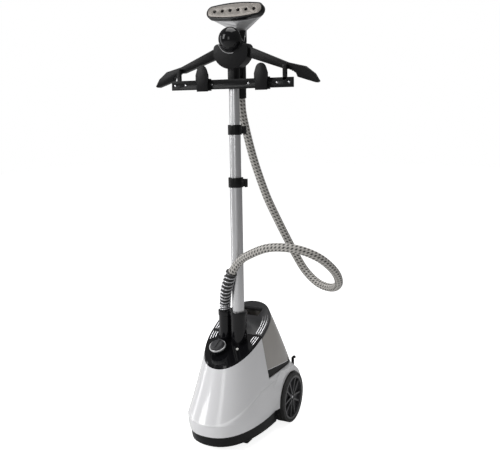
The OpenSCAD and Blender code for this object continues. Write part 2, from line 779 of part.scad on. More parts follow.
// Trouser clips: a frame that slides on the bar and a sprung paddle in front
clip_w = 32;
paddle_w = 37;
clip_gap = 0.3;
module clip_frame(x) {
    translate([x, bar_y, bar_z]) difference() {
        cube([clip_w, bar_t + 5, bar_h + 6], center = true);
        cube([clip_w + 1, bar_t + 2 * clip_gap, bar_h + 2 * clip_gap], center = true);
        translate([0, 0, -bar_h / 2]) cube([clip_w - 12, 60, 2], center = true);
    }
    for (s = [-1, 1]) translate([x + s * (clip_w / 2 - 5), bar_y - bar_t / 2 - 4.5, bar_z + 13])
        difference() {
            translate([0, 0.5, 0]) cube([4, 6, 5], center = true);
            rotate([0, 90, 0]) cylinder(d = paddle_pin_d, h = 20, center = true);
        }
}
paddle_pin_d = 2.4;
paddle_t = 3;
module paddle_outline() {
    union() {
        translate([-clip_w / 2, -31]) square([clip_w, 26]);
        polygon([[-clip_w / 2, -9], [-paddle_w / 2, -3], [-paddle_w / 2, 10], [-13, 26],
            [13, 26], [paddle_w / 2, 10], [paddle_w / 2, -3], [clip_w / 2, -9]]);
        translate([0, 20]) circle(r = 14);
    }
}
module clip_paddle(x) {
    translate([x, bar_y - bar_t / 2 - 8.4, bar_z + 13]) {
        rotate([90, 0, 0]) linear_extrude(paddle_t) translate([0, 1]) paddle_outline();
        translate([0, 3.9, 0]) rotate([0, 90, 0])
            cylinder(d = paddle_pin_d - 0.06, h = clip_w - 6, center = true);
        translate([0, 1.9, 0]) cube([clip_w - 16, 4, 2], center = true);
    }
}
module clip_frame_left() { color("#1b1b1d") clip_frame(-clip_left_x); }
module clip_frame_right() { color("#1b1b1d") clip_frame(clip_right_x); }
module clip_paddle_left() { color("#101012") clip_paddle(-clip_left_x); }
module clip_paddle_right() { color("#101012") clip_paddle(clip_right_x); }

// Cradle: a forked bracket behind the hub that holds the handset by its neck
handset_y = pole_y + 38;
cradle_z = hub_z + 6;
cradle_gap = 0.4;
module handset_cradle() {
    color("#161618") difference() {
        union() {
            translate([-16, hub_y0 + hub_t, cradle_z - 12]) cube([32, 12, 18]);
            translate([0, handset_y, cradle_z - 6]) cylinder(d = handle_d + 14, h = 12);
        }
        translate([0, handset_y, cradle_z - 40]) cylinder(d = handle_d + 2 * cradle_gap, h = 80);
        translate([-(handle_d / 2 - 1.5), handset_y, cradle_z - 40]) cube([handle_d - 3, 60, 80]);
    }
}

// Handset: plate and bezel in a tilted frame, and an upright handle
head_at = [0, pole_y + 8, hub_z + 110];
module head_frame() {
    translate(head_at) rotate([-head_tilt, 0, 0]) children();
}
hole_n = 6;
hole_pitch = head_w * 0.139;
bezel_d = 15;
plate_t = 4;
module steam_plate() {
    color("#bdb9b2") head_frame() rotate([90, 0, 0]) translate([0, 0, -plate_t + 1])
        linear_extrude(plate_t) difference() {
            plate_outline(head_w - 9, head_h - 9);
            for (i = [0 : hole_n - 1]) translate([(i - (hole_n - 1) / 2) * hole_pitch, 0])
                circle(d = steam_hole_d, $fn = 24);
        }
}
// A long shallow oval: two wide arcs closed by two small round ends
module plate_outline(w, h) {
    bow = 5;
    r_end = h / 2 - bow;
    r_bow = (pow(w / 2 - r_end, 2) + bow * bow) / (2 * bow);
    union() {
        for (s = [-1, 1]) translate([s * (w / 2 - r_end), 0]) circle(r = r_end, $fn = 48);
        intersection() {
            translate([0, h / 2 - r_bow]) circle(r = r_bow, $fn = 180);
            translate([0, r_bow - h / 2]) circle(r = r_bow, $fn = 180);
            square([w - 2 * r_end, h * 2], center = true);
        }
    }
}
module plate_bezel() {
    color("#17171a") head_frame() rotate([90, 0, 0]) difference() {
        translate([0, 0, -bezel_d]) linear_extrude(bezel_d) plate_outline(head_w, head_h);
        translate([0, 0, -plate_t + 0.95]) linear_extrude(20)
            plate_outline(head_w - 8.8, head_h - 8.8);
        translate([0, 0, -bezel_d - 1]) linear_extrude(20)
            plate_outline(head_w - 22, head_h - 20);
    }
}
neck_z = hub_z + 36;
module head_shell() {
    color("#c2c3c6") difference() {
        hull() {
            head_frame() rotate([90, 0, 0]) translate([0, 0, -bezel_d - 3])
                linear_extrude(2.9) plate_outline(head_w - 6, head_h - 4, $fn = 32);
            head_frame() translate([0, bezel_d + 20, -14]) sphere(r = 20, $fn = 32);
            translate([-14, handset_y - 6, hub_z + 62]) cube([28, 14, 4]);
        }
        head_frame() rotate([90, 0, 0]) translate([0, 0, -bezel_d - 8])
            linear_extrude(20) plate_outline(head_w - 22, head_h - 18, $fn = 32);
    }
}
handle_low_z = hub_z - 84;
cuff_h = 24;
cuff_low_z = handle_low_z - cuff_h + 1;
module handset_handle() {
    color("#161618") difference() {
        union() {
            translate([0, handset_y, handle_low_z]) cylinder(d = handle_d, h = hub_z + 20 - handle_low_z);
            translate([0, handset_y, hub_z + 12]) cylinder(d1 = handle_d, d2 = handle_d + 6, h = 24);
            translate([0, handset_y, hub_z + 36]) cylinder(d = handle_d + 6, h = 25.9);
            translate([0, handset_y, cuff_low_z]) cylinder(d = hose_d + 4, h = cuff_h);
        }
        translate([0, handset_y, handle_low_z - 4]) cylinder(d = handle_d - 8, h = 60 + hub_z - handle_low_z);
        translate([0, handset_y, cuff_low_z - 1]) cylinder(d = hose_d + 0.6, h = 13);
        translate([0, handset_y, cuff_low_z]) cylinder(d = 8, h = 60);
        for (s = [-1, 1]) trim_bar(s, 0.05);
    }
}
module trim_bar(side, gap) {
    translate([side * (handle_d / 2 + 1), handset_y, hub_z + 48])
        cube([3 + gap * 2, 8 + gap * 2, 22 + gap * 2], center = true);
}
module handset_trim() {
    color("#b9babd") for (s = [-1, 1]) trim_bar(s, 0);
}

// Flexible hose: one route from the socket, round the loop, up to the handset
route_from_pole = [
    [-40, 0, 335], [-40, 0, 343], [-40, 0, 360], [-32.4, -10.4, 384], [-22, -23.6, 409],
    [-10.9, -31, 433], [-0.4, -33.5, 457], [30, -38, 494], [75, -53, 520],
    [120, -60, 537], [165, -56, 540], [205, -38, 531], [240, -10, 508], [260, 30, 471],
    [258, 68, 436], [238, 98, 412], [205, 120, 404], [170, 132, 413], [135, 138, 441],
    [108, 137, 482], [84, 130, 530], [62, 120, 580], [40, 108, 635], [24, 94, 692], [12, 78, 750],
    [4, 60, 812], [0, 44, 866], [0, 38, 905]];
hose_route = [for (p = route_from_pole) p + [0, pole_y, 0]];
hose_steps = 3;
hose_sides = 10;
function cr(a, b, c, d, t) = 0.5 * (2 * b + (c - a) * t + (2 * a - 5 * b + 4 * c - d) * t * t
    + (3 * b - a - 3 * c + d) * t * t * t);
function route_at(i, t) =
    let (n = len(hose_route) - 1, a = i > 0 ? hose_route[i - 1] : 2 * hose_route[0] - hose_route[1],
        d = i + 2 <= n ? hose_route[i + 2] : 2 * hose_route[n] - hose_route[n - 1])
    cr(a, hose_route[i], hose_route[min(i + 1, n)], d, t);
function route_pts(i0, i1) = concat([for (i = [i0 : i1 - 1]) for (k = [0 : hose_steps - 1])
    route_at(i, k / hose_steps)], [hose_route[i1]]);
function unit(v) = v / norm(v);
// Sides of each ring are carried along the route without twist
function carry(side, dir) = unit(side - (side * dir) * dir);
function sides_along(dirs) = [for (i = 0, s = carry([0, -1, 0], dirs[0]); i < len(dirs);
    i = i + 1, s = i < len(dirs) ? carry(s, dirs[i]) : s) s];
// The rings of points round a path, at radius r
function path_rings(p, r) =
    let (n = len(p), dirs = [for (i = [0 : n - 1]) unit(p[min(i + 1, n - 1)] - p[max(i - 1, 0)])],
        side = sides_along(dirs))
    [for (i = [0 : n - 1]) let (u = side[i], v = cross(dirs[i], u))
        [for (k = [0 : hose_sides - 1]) let (a = -k * 360 / hose_sides)
            p[i] + r * (cos(a) * u + sin(a) * v)]];
// A sleeve: its rings run up the outside and back down the inside
module sleeve(p, r_out, r_in) {
    inner = path_rings(p, r_in);
    m = len(p);
    rings = concat(path_rings(p, r_out), [for (i = [m - 1 : -1 : 0]) inner[i]]);
    n = hose_sides;
    polyhedron(points = [for (r = rings) for (q = r) q],
        faces = [for (j = [0 : 2 * m - 1]) for (i = [0 : n - 1]) let (k = (j + 1) % (2 * m))
            [j * n + i, k * n + i, k * n + (i + 1) % n, j * n + (i + 1) % n]]);
}
hose_path = route_pts(0, len(hose_route) - 1);
hose_rings = path_rings(hose_path, hose_d / 2);
module hose_piece(from, to) {
    i0 = from * hose_steps;
    gap = from > 0 ? 0.1 : 0;
    start = [for (q = hose_rings[i0]) q + gap * unit(hose_path[i0 + 1] - hose_path[i0])];
    color("#b9b6b0") loft(concat([start], [for (i = [i0 + 1 : to * hose_steps]) hose_rings[i]]));
}
// The hose is in three pieces, which meet face to face at these route points
low_end = 22;
mid_end = 24;
guard_end = 6;
module hose_low() { hose_piece(0, low_end); }
module hose_mid() { hose_piece(low_end, mid_end); }
module hose_top() { hose_piece(mid_end, len(hose_route) - 1); }
module spring_guard() {
    color("#c4c4c4") sleeve(route_pts(0, guard_end), guard_d / 2, hose_d / 2 + 0.5);
}

base_tray();
body_shell();
top_panel();
pole_socket();
hose_socket();
knob_ring();
control_knob();
rotary_switch();
indicator_lens();
front_feet();
axle_rod();
axle_clips();
tyre_left();
tyre_right();
rim_left();
rim_right();
boiler();
boiler_lid();
boiler_gasket();
heating_element();
thermostat();
steam_pipe();
water_pipe();
tank_seat();
seat_valve_post();
tray_screws();
cord_gland();
cord_hook();
tank_shell();
tank_lid();
tank_cap();
tank_valve();
valve_spring();
pole_lower();
collar_lower();
lever_lower();
pole_middle();
collar_upper();
lever_upper();
pole_upper();
hanger_hub();
hub_knob();
arm_left();
arm_right();
trouser_bar();
bar_screws();
handset_cradle();
clip_frame_left();
clip_frame_right();
clip_paddle_left();
clip_paddle_right();
steam_plate();
plate_bezel();
head_shell();
handset_handle();
handset_trim();
hose_low();
hose_mid();
hose_top();
spring_guard();
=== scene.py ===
"""Upright garment steamer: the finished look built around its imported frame.

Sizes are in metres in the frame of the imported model: +Z up, the nose of the
base towards -Y, the hose's loop towards +X.
"""

import logging
import math
from dataclasses import dataclass
from enum import Enum
from typing import Callable, Sequence

import bmesh
import bpy
from mathutils import Matrix, Vector


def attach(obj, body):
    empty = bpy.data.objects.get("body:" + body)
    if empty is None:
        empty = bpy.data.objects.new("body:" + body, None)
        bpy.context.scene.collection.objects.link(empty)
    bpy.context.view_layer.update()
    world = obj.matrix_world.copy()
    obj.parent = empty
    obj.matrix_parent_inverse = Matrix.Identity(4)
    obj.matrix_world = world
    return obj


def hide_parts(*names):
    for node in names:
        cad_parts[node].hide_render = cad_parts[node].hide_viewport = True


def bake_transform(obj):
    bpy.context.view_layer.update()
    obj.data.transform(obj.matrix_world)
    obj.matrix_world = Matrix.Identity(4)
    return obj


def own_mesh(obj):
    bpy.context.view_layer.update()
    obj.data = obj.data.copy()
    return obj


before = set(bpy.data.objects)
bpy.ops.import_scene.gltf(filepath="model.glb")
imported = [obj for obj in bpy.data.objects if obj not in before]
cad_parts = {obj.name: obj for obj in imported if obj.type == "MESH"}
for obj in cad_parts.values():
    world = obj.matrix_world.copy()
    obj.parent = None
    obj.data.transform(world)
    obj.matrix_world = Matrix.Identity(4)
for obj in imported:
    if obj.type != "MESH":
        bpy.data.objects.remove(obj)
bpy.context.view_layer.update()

logging.basicConfig(level=logging.INFO, format="%(message)s")
log = logging.getLogger("steamer")

MM = 0.001
BASE_X = -0.020
POLE_Y = -0.030
HUB_Z = 1.012


class Axis(Enum):
    """The row axes, as unit vectors."""

    X = (1.0, 0.0, 0.0)
    Y = (0.0, 1.0, 0.0)
    Z = (0.0, 0.0, 1.0)


# ---------------------------------------------------------------- modelling


def deselect() -> None:
    """Deselects every object, in object mode."""
    if bpy.context.object and bpy.context.object.mode != "OBJECT":
        bpy.ops.object.mode_set(mode="OBJECT")
    bpy.ops.object.select_all(action="DESELECT")


def take(obj: bpy.types.Object) -> None:
    """Makes one object the only selected and the active one."""
    deselect()
    obj.select_set(True)
    bpy.context.view_layer.objects.active = obj


def settle(obj: bpy.types.Object) -> bpy.types.Object:
    """Moves an object's place, turn and size into its mesh.

    Args:
        obj: A mesh object.

    Returns:
        The same object, now at the origin.
    """
    take(obj)
    bpy.ops.object.transform_apply(location=True, rotation=True, scale=True)
    return obj


def apply_modifier(obj: bpy.types.Object, kind: str, **values: object) -> None:
    """Adds one modifier, sets its values and applies it."""
    take(obj)
    modifier = obj.modifiers.new("step", kind)
    for key, value in values.items():
        setattr(modifier, key, value)
    bpy.ops.object.modifier_apply(modifier=modifier.name)


def pick_faces(obj: bpy.types.Object, test: Callable[[bmesh.types.BMFace], bool]) -> None:
    """Selects in edit mode the faces that pass a test, and no others."""
    take(obj)
    bpy.ops.object.mode_set(mode="EDIT")
    bpy.ops.mesh.select_mode(type="FACE")
    bpy.ops.mesh.select_all(action="DESELECT")
    mesh = bmesh.from_edit_mesh(obj.data)
    for face in mesh.faces:
        face.select_set(test(face))
    bmesh.update_edit_mesh(obj.data)


def smooth(obj: bpy.types.Object, degrees: float = 32.0) -> None:
    """Shades an object smooth, with its sharper edges kept."""
    take(obj)
    bpy.ops.object.shade_smooth_by_angle(angle=math.radians(degrees))


def round_edges(obj: bpy.types.Object, width: float, segments: int = 2,
                degrees: float = 35.0) -> None:
    """Rounds the edges of an object that are sharper than an angle."""
    apply_modifier(obj, "BEVEL", width=width, segments=segments, limit_method="ANGLE",
                   angle_limit=math.radians(degrees), use_clamp_overlap=True,
                   harden_normals=False)


def outward(obj: bpy.types.Object) -> None:
    """Merges an object's doubles and points its faces outwards."""
    take(obj)
    bpy.ops.object.mode_set(mode="EDIT")
    bpy.ops.mesh.select_all(action="SELECT")
    bpy.ops.mesh.remove_doubles(threshold=1e-6)
    bpy.ops.mesh.normals_make_consistent(inside=False)
    bpy.ops.object.mode_set(mode="OBJECT")


def cylinder(name: str, radius: float, depth: float, at: Sequence[float],
             axis: Axis = Axis.Z, sides: int = 48) -> bpy.types.Object:
    """Adds a cylinder along a row axis, centred at a point."""
    deselect()
    turn = {Axis.X: (0, math.pi / 2, 0), Axis.Y: (math.pi / 2, 0, 0), Axis.Z: (0, 0, 0)}
    bpy.ops.mesh.primitive_cylinder_add(vertices=sides, radius=radius, depth=depth,
                                        location=at, rotation=turn[axis])
    obj = bpy.context.object
    obj.name = name
    return settle(obj)


def block(name: str, low: Sequence[float], high: Sequence[float]) -> bpy.types.Object:
    """Adds a box between two corners."""
    deselect()
    centre = [(a + b) / 2 for a, b in zip(low, high)]
    bpy.ops.mesh.primitive_cube_add(size=1, location=centre)
    obj = bpy.context.object
    obj.name = name
    obj.scale = [b - a for a, b in zip(low, high)]
    return settle(obj)


def cut(obj: bpy.types.Object, tool: bpy.types.Object, how: str = "DIFFERENCE") -> None:
    """Cuts an object with another, which is then removed."""
    apply_modifier(obj, "BOOLEAN", object=tool, operation=how, solver="EXACT")
    bpy.data.objects.remove(tool, do_unlink=True)


def from_rings(name: str, rings: Sequence[Sequence[Vector]], closed: bool = True,
               capped: bool = True) -> bpy.types.Object:
    """Skins a stack of rings that have the same number of points.

    Args:
        name: The new object's name.
        rings: The rings, in order, each a list of points.
        closed: Whether each ring joins its last point to its first.
        capped: Whether the first and last rings are filled.

    Returns:
        The new object.
    """
    mesh = bmesh.new()
    rows = [[mesh.verts.new(p) for p in ring] for ring in rings]
    count = len(rows[0])
    last = count if closed else count - 1
    for low, high in zip(rows, rows[1:]):
        for i in range(last):
            j = (i + 1) % count
            mesh.faces.new((low[i], low[j], high[j], high[i]))
    if capped:
        mesh.faces.new(list(reversed(rows[0])))
        mesh.faces.new(rows[-1])
    bmesh.ops.recalc_face_normals(mesh, faces=mesh.faces)
    data = bpy.data.meshes.new(name)
    mesh.to_mesh(data)
    mesh.free()
    obj = bpy.data.objects.new(name, data)
    bpy.context.collection.objects.link(obj)
    return obj


# ---------------------------------------------------------------- the hose's line


def spline(points: Sequence[Vector], steps: int) -> list[Vector]:
    """Runs a smooth curve through points.

    Args:
        points: The points to pass through.
        steps: How many stretches lie between two points.

    Returns:
        The curve's points, the last one included.
    """
    last = len(points) - 1
    line = []
    for i in range(last):
        b, c = points[i], points[i + 1]
        a = points[i - 1] if i else 2 * b - c
        d = points[i + 2] if i + 2 <= last else 2 * c - b
        for k in range(steps):
            t = k / steps
            line.append(0.5 * (2 * b + (c - a) * t + (2 * a - 5 * b + 4 * c - d) * t * t
                               + (3 * b - a - 3 * c + d) * t ** 3))
    return line + [points[-1]]


def frames_along(line: Sequence[Vector]) -> list[tuple[Vector, Vector]]:
    """Gives two crosswise directions at each point of a line, without twist."""
    sides = []
    side = Vector((0, -1, 0))
    for i, _ in enumerate(line):
        along = (line[min(i + 1, len(line) - 1)] - line[max(i - 1, 0)]).normalized()
        side = (side - side.dot(along) * along).normalized()
        sides.append((side.copy(), along.cross(side)))
    return sides


def length_of(line: Sequence[Vector]) -> float:
    """Gives the length of a line through points."""
    return sum((b - a).length for a, b in zip(line, line[1:]))


def tube(name: str, line: Sequence[Vector], radius: Callable[[float, float], float],
         sides: int, capped: bool = True, start: float = 0.0) -> bpy.types.Object:
    """Builds a tube along a line, with a UV map that follows it.

    Args:
        name: The new object's name.
        line: The centre line.
        radius: Gives the radius from the turn round the tube (0 to 1) and the
            distance along it.
        sides: How many points go round.
        capped: Whether the ends are closed.
        start: The distance along at the first point.

    Returns:
        The new object. Its UV map has the turn in U and the distance in V.
    """
    frames = frames_along(line)
    far, here = [], start
    for i, point in enumerate(line):
        here += (point - line[i - 1]).length if i else 0.0
        far.append(here)
    rings = []
    for point, (u, v), dist in zip(line, frames, far):
        ring = []
        for k in range(sides):
            turn = k / sides
            angle = 2 * math.pi * turn
            ring.append(point + radius(turn, dist) * (math.cos(angle) * u + math.sin(angle) * v))
        rings.append(ring)
    obj = from_rings(name, rings, capped=capped)
    data = obj.data
    layer = data.uv_layers.new(name="along")
    for face in data.polygons:
        if len(face.vertices) != 4:
            continue
        turns = [v % sides for v in face.vertices]
        wraps = max(turns) - min(turns) > 1
        for corner, vertex in zip(face.loop_indices, face.vertices):
            turn = vertex % sides
            u_value = (turn + sides if wraps and turn == 0 else turn) / sides
            layer.data[corner].uv = (u_value, far[vertex // sides])
    return obj


# ---------------------------------------------------------------- finishes


def node_in(tree: bpy.types.NodeTree, kind: str, **values: object) -> bpy.types.Node:
    """Adds a node to a tree and sets its plain values and its sockets' values."""
    node = tree.nodes.new(kind)
    for key, value in values.items():
        if hasattr(node, key):
            setattr(node, key, value)
        else:
            node.inputs[key.replace("_", " ")].default_value = value
    return node


def math_node(tree: bpy.types.NodeTree, how: str, a: object, b: object = 0.0,
              clamp: bool = False) -> bpy.types.NodeSocket:
    """Adds a Math node on two values or sockets and returns its output."""
    node = tree.nodes.new("ShaderNodeMath")
    node.operation = how
    node.use_clamp = clamp
    for slot, value in zip(node.inputs, (a, b)):
        if isinstance(value, bpy.types.NodeSocket):
            tree.links.new(value, slot)
        else:
            slot.default_value = value
    return node.outputs[0]


def new_group(name: str, inputs: Sequence[tuple], outputs: Sequence[tuple]) -> tuple:
    """Starts a shader node group with named sockets.

    Args:
        name: The group's name.
        inputs: For each input its name, socket type and default value.
        outputs: For each output its name and socket type.

    Returns:
        The group, its input node and its output node.
    """
    group = bpy.data.node_groups.new(name, "ShaderNodeTree")
    for label, kind, value in inputs:
        socket = group.interface.new_socket(label, in_out="INPUT", socket_type=kind)
        if value is not None:
            socket.default_value = value
    for label, kind in outputs:
        group.interface.new_socket(label, in_out="OUTPUT", socket_type=kind)
    return group, group.nodes.new("NodeGroupInput"), group.nodes.new("NodeGroupOutput")


FLOAT = "NodeSocketFloat"
COLOUR = "NodeSocketColor"
VECTOR = "NodeSocketVector"


def build_grain_group() -> bpy.types.NodeTree:
    """Builds the shared effect of fine grain, cloudy colour and handling marks.

    Returns:
        The group. It puts out a colour, a roughness and a normal.
    """
    group, source, sink = new_group(
        "surface_grain",
        [("Vector", VECTOR, None), ("Colour", COLOUR, (0.5, 0.5, 0.5, 1)),
         ("Marked", COLOUR, (0.4, 0.4, 0.4, 1)), ("Roughness", FLOAT, 0.4),
         ("Spread", FLOAT, 0.1), ("Scale", FLOAT, 900.0), ("Depth", FLOAT, 0.1),
         ("Clouds", FLOAT, 0.3)],
        [("Colour", COLOUR), ("Roughness", FLOAT), ("Normal", VECTOR)])
    link = group.links.new
    fine = node_in(group, "ShaderNodeTexNoise", Detail=3.0, Roughness=0.6)
    link(source.outputs["Vector"], fine.inputs["Vector"])
    link(source.outputs["Scale"], fine.inputs["Scale"])
    broad = node_in(group, "ShaderNodeTexNoise", Scale=14.0, Detail=5.0, Roughness=0.65)
    link(source.outputs["Vector"], broad.inputs["Vector"])
    ramp = group.nodes.new("ShaderNodeValToRGB")
    ramp.color_ramp.elements[0].position = 0.42
    ramp.color_ramp.elements[1].position = 0.72
    link(broad.outputs["Fac"], ramp.inputs["Fac"])
    share = math_node(group, "MULTIPLY", ramp.outputs["Color"], source.outputs["Clouds"])
    mix = node_in(group, "ShaderNodeMix", data_type="RGBA")
    link(share, mix.inputs["Factor"])
    link(source.outputs["Colour"], mix.inputs[6])
    link(source.outputs["Marked"], mix.inputs[7])
    link(mix.outputs[2], sink.inputs["Colour"])
    swing = math_node(group, "SUBTRACT", broad.outputs["Fac"], 0.5)
    swing = math_node(group, "MULTIPLY", swing, source.outputs["Spread"])
    link(math_node(group, "ADD", swing, source.outputs["Roughness"], clamp=True),
         sink.inputs["Roughness"])
    bump = node_in(group, "ShaderNodeBump", Distance=0.0004)
    link(fine.outputs["Fac"], bump.inputs["Height"])
    link(source.outputs["Depth"], bump.inputs["Strength"])
    link(bump.outputs["Normal"], sink.inputs["Normal"])
    return group


@dataclass(frozen=True)
class Finish:
    """One surface finish: colour, gloss and grain, made from the shared effect."""

    name: str
    colour: tuple[float, float, float]
    marked: tuple[float, float, float]
    roughness: float
    spread: float = 0.08
    metallic: float = 0.0
    scale: float = 900.0
    depth: float = 0.1
    clouds: float = 0.25
    stretch: tuple[float, float, float] = (1.0, 1.0, 1.0)
    coat: float = 0.0
    coat_roughness: float = 0.06
    transmission: float = 0.0
    ior: float = 1.5

    def build(self, grain: bpy.types.NodeTree) -> bpy.types.Material:
        """Builds the material.

        Args:
            grain: The shared effect's node group.

        Returns:
            The new material.
        """
        material = bpy.data.materials.new(self.name)
        material.use_nodes = True
        tree = material.node_tree
        shader = tree.nodes["Principled BSDF"]
        place = node_in(tree, "ShaderNodeTexCoord")
        mapping = node_in(tree, "ShaderNodeMapping", Scale=self.stretch)
        tree.links.new(place.outputs["Object"], mapping.inputs["Vector"])
        effect = tree.nodes.new("ShaderNodeGroup")
        effect.node_tree = grain
        for label, value in (("Colour", (*self.colour, 1)), ("Marked", (*self.marked, 1)),
                             ("Roughness", self.roughness), ("Spread", self.spread),
                             ("Scale", self.scale), ("Depth", self.depth),
                             ("Clouds", self.clouds)):
            effect.inputs[label].default_value = value
        tree.links.new(mapping.outputs["Vector"], effect.inputs["Vector"])
        tree.links.new(effect.outputs["Colour"], shader.inputs["Base Color"])
        tree.links.new(effect.outputs["Roughness"], shader.inputs["Roughness"])
        tree.links.new(effect.outputs["Normal"], shader.inputs["Normal"])
        shader.inputs["Metallic"].default_value = self.metallic
        shader.inputs["Coat Weight"].default_value = self.coat
        shader.inputs["Coat Roughness"].default_value = self.coat_roughness
        shader.inputs["Transmission Weight"].default_value = self.transmission
        shader.inputs["IOR"].default_value = self.ior
        material.diffuse_color = (*self.colour, 1)
        return material


FINISHES = {f.name: f for f in (
    Finish("white_gloss", (0.80, 0.80, 0.815), (0.76, 0.76, 0.77), 0.24, 0.06, depth=0.02,
           scale=260.0, coat=0.6, coat_roughness=0.05),
    Finish("black_gloss", (0.006, 0.006, 0.007), (0.010, 0.010, 0.011), 0.10, 0.05,
           depth=0.008, scale=300.0, coat=0.15, coat_roughness=0.03, ior=1.3),
    Finish("black_satin", (0.006, 0.006, 0.0065), (0.011, 0.011, 0.012), 0.38, 0.12,
           depth=0.10, scale=1500.0, ior=1.27),
    Finish("lid_grey", (0.026, 0.026, 0.028), (0.040, 0.040, 0.042), 0.32, 0.12,
           depth=0.08, scale=1300.0, ior=1.4),
    Finish("knob_grey", (0.040, 0.040, 0.044), (0.065, 0.065, 0.068), 0.42, 0.12,
           depth=0.2, scale=1400.0),
    Finish("bright_chrome", (0.80, 0.80, 0.82), (0.72, 0.72, 0.74), 0.07, 0.05,
           metallic=1.0, depth=0.01),
    Finish("smoke_tank", (0.46, 0.435, 0.41), (0.40, 0.38, 0.36), 0.16, 0.08,
           depth=0.03, scale=240.0, coat=0.4, transmission=0.15, ior=1.46),
    Finish("pole_metal", (0.66, 0.66, 0.67), (0.60, 0.60, 0.62), 0.34, 0.08, metallic=1.0,
           depth=0.004, scale=600.0, stretch=(1.0, 1.0, 0.03), clouds=0.15),
    Finish("tyre_black", (0.014, 0.014, 0.014), (0.034, 0.033, 0.032), 0.62, 0.16,
           depth=0.35, scale=1100.0, clouds=0.5),
    Finish("rim_grey", (0.060, 0.060, 0.064), (0.085, 0.085, 0.088), 0.34, 0.12,
           depth=0.1, scale=1300.0),
    Finish("plate_metal", (0.27, 0.25, 0.23), (0.23, 0.215, 0.20), 0.42, 0.06,
           metallic=0.45, depth=0.02, scale=900.0, stretch=(0.3, 1.0, 1.0), clouds=0.25),
    Finish("head_silver", (0.66, 0.66, 0.67), (0.60, 0.60, 0.61), 0.30, 0.06,
           metallic=0.55, depth=0.02, scale=900.0, coat=0.4),
    Finish("steel", (0.62, 0.62, 0.64), (0.50, 0.50, 0.51), 0.28, 0.12, metallic=1.0,
           depth=0.08),
    Finish("cast_boiler", (0.55, 0.55, 0.56), (0.42, 0.42, 0.42), 0.48, 0.16,
           metallic=0.9, depth=0.5, scale=700.0, clouds=0.5),
    Finish("soft_rubber", (0.018, 0.018, 0.018), (0.032, 0.031, 0.030), 0.58, 0.12,
           depth=0.25, scale=900.0, clouds=0.4),
    Finish("ceramic", (0.62, 0.58, 0.50), (0.52, 0.48, 0.42), 0.52, 0.1, depth=0.25),
    Finish("lens", (0.80, 0.80, 0.76), (0.70, 0.70, 0.66), 0.30, 0.06, depth=0.04),
    Finish("red_rubber", (0.30, 0.045, 0.025), (0.20, 0.03, 0.02), 0.5, 0.1, depth=0.2),
)}


def build_braid() -> bpy.types.Material:
    """Builds the hose's woven cover: slanting ribs with rows of dark dashes.

    Returns:
        The material. Its pattern follows the tube's own UV map.
    """
    material = bpy.data.materials.new("hose_braid")
    material.use_nodes = True
    tree = material.node_tree
    link = tree.links.new
    shader = tree.nodes["Principled BSDF"]
    place = node_in(tree, "ShaderNodeUVMap")
    place.uv_map = "along"
    split = tree.nodes.new("ShaderNodeSeparateXYZ")
    link(place.outputs["UV"], split.inputs[0])
    turn, dist = split.outputs[0], split.outputs[1]
    rows = math_node(tree, "MULTIPLY", turn, 8.0)
    row = math_node(tree, "FLOOR", rows)
    across = math_node(tree, "SUBTRACT", rows, row)
    across = math_node(tree, "ABSOLUTE", math_node(tree, "SUBTRACT", across, 0.5))
    lean = math_node(tree, "MULTIPLY", turn, 4.0)
    steps = math_node(tree, "ADD", math_node(tree, "MULTIPLY", dist, 104.0), lean)
    steps = math_node(tree, "ADD", steps, math_node(tree, "MULTIPLY", row, 0.5))
    within = math_node(tree, "ABSOLUTE", math_node(
        tree, "SUBTRACT", math_node(tree, "FRACT", steps), 0.5))
    # A dash is dark where it is near its row's middle and near its step's middle
    side = math_node(tree, "MULTIPLY", math_node(tree, "SUBTRACT", 0.40, across), 8.0, True)
    stretch = math_node(tree, "MULTIPLY", math_node(tree, "SUBTRACT", 0.30, within), 9.0, True)
    dash = math_node(tree, "MULTIPLY", side, stretch)
    ribs = math_node(tree, "SINE", math_node(tree, "ADD", math_node(
        tree, "MULTIPLY", dist, 2 * math.pi * 416.0), math_node(
        tree, "MULTIPLY", turn, 2 * math.pi * 16.0)))
    ribs = math_node(tree, "MULTIPLY", math_node(tree, "ADD", ribs, 1.0), 0.5)
    grime = node_in(tree, "ShaderNodeTexNoise", Scale=22.0, Detail=4.0)
    coords = node_in(tree, "ShaderNodeTexCoord")
    link(coords.outputs["Object"], grime.inputs["Vector"])
    pale = node_in(tree, "ShaderNodeMix", data_type="RGBA")
    pale.inputs[6].default_value = (0.50, 0.48, 0.445, 1)
    pale.inputs[7].default_value = (0.66, 0.64, 0.61, 1)
    link(ribs, pale.inputs["Factor"])
    worn = node_in(tree, "ShaderNodeMix", data_type="RGBA")
    link(math_node(tree, "MULTIPLY", grime.outputs["Fac"], 0.25), worn.inputs["Factor"])
    link(pale.outputs[2], worn.inputs[6])
    worn.inputs[7].default_value = (0.40, 0.385, 0.36, 1)
    dark = node_in(tree, "ShaderNodeMix", data_type="RGBA")
    link(math_node(tree, "MULTIPLY", dash, 0.92), dark.inputs["Factor"])
    link(worn.outputs[2], dark.inputs[6])
    dark.inputs[7].default_value = (0.012, 0.011, 0.010, 1)
    link(dark.outputs[2], shader.inputs["Base Color"])
    bump = node_in(tree, "ShaderNodeBump", Strength=0.5, Distance=0.0006)
    height = math_node(tree, "SUBTRACT", ribs, math_node(tree, "MULTIPLY", dash, 0.8))
    link(height, bump.inputs["Height"])
    link(bump.outputs["Normal"], shader.inputs["Normal"])
    shader.inputs["Roughness"].default_value = 0.5
    shader.inputs["Sheen Weight"].default_value = 0.15
    return material


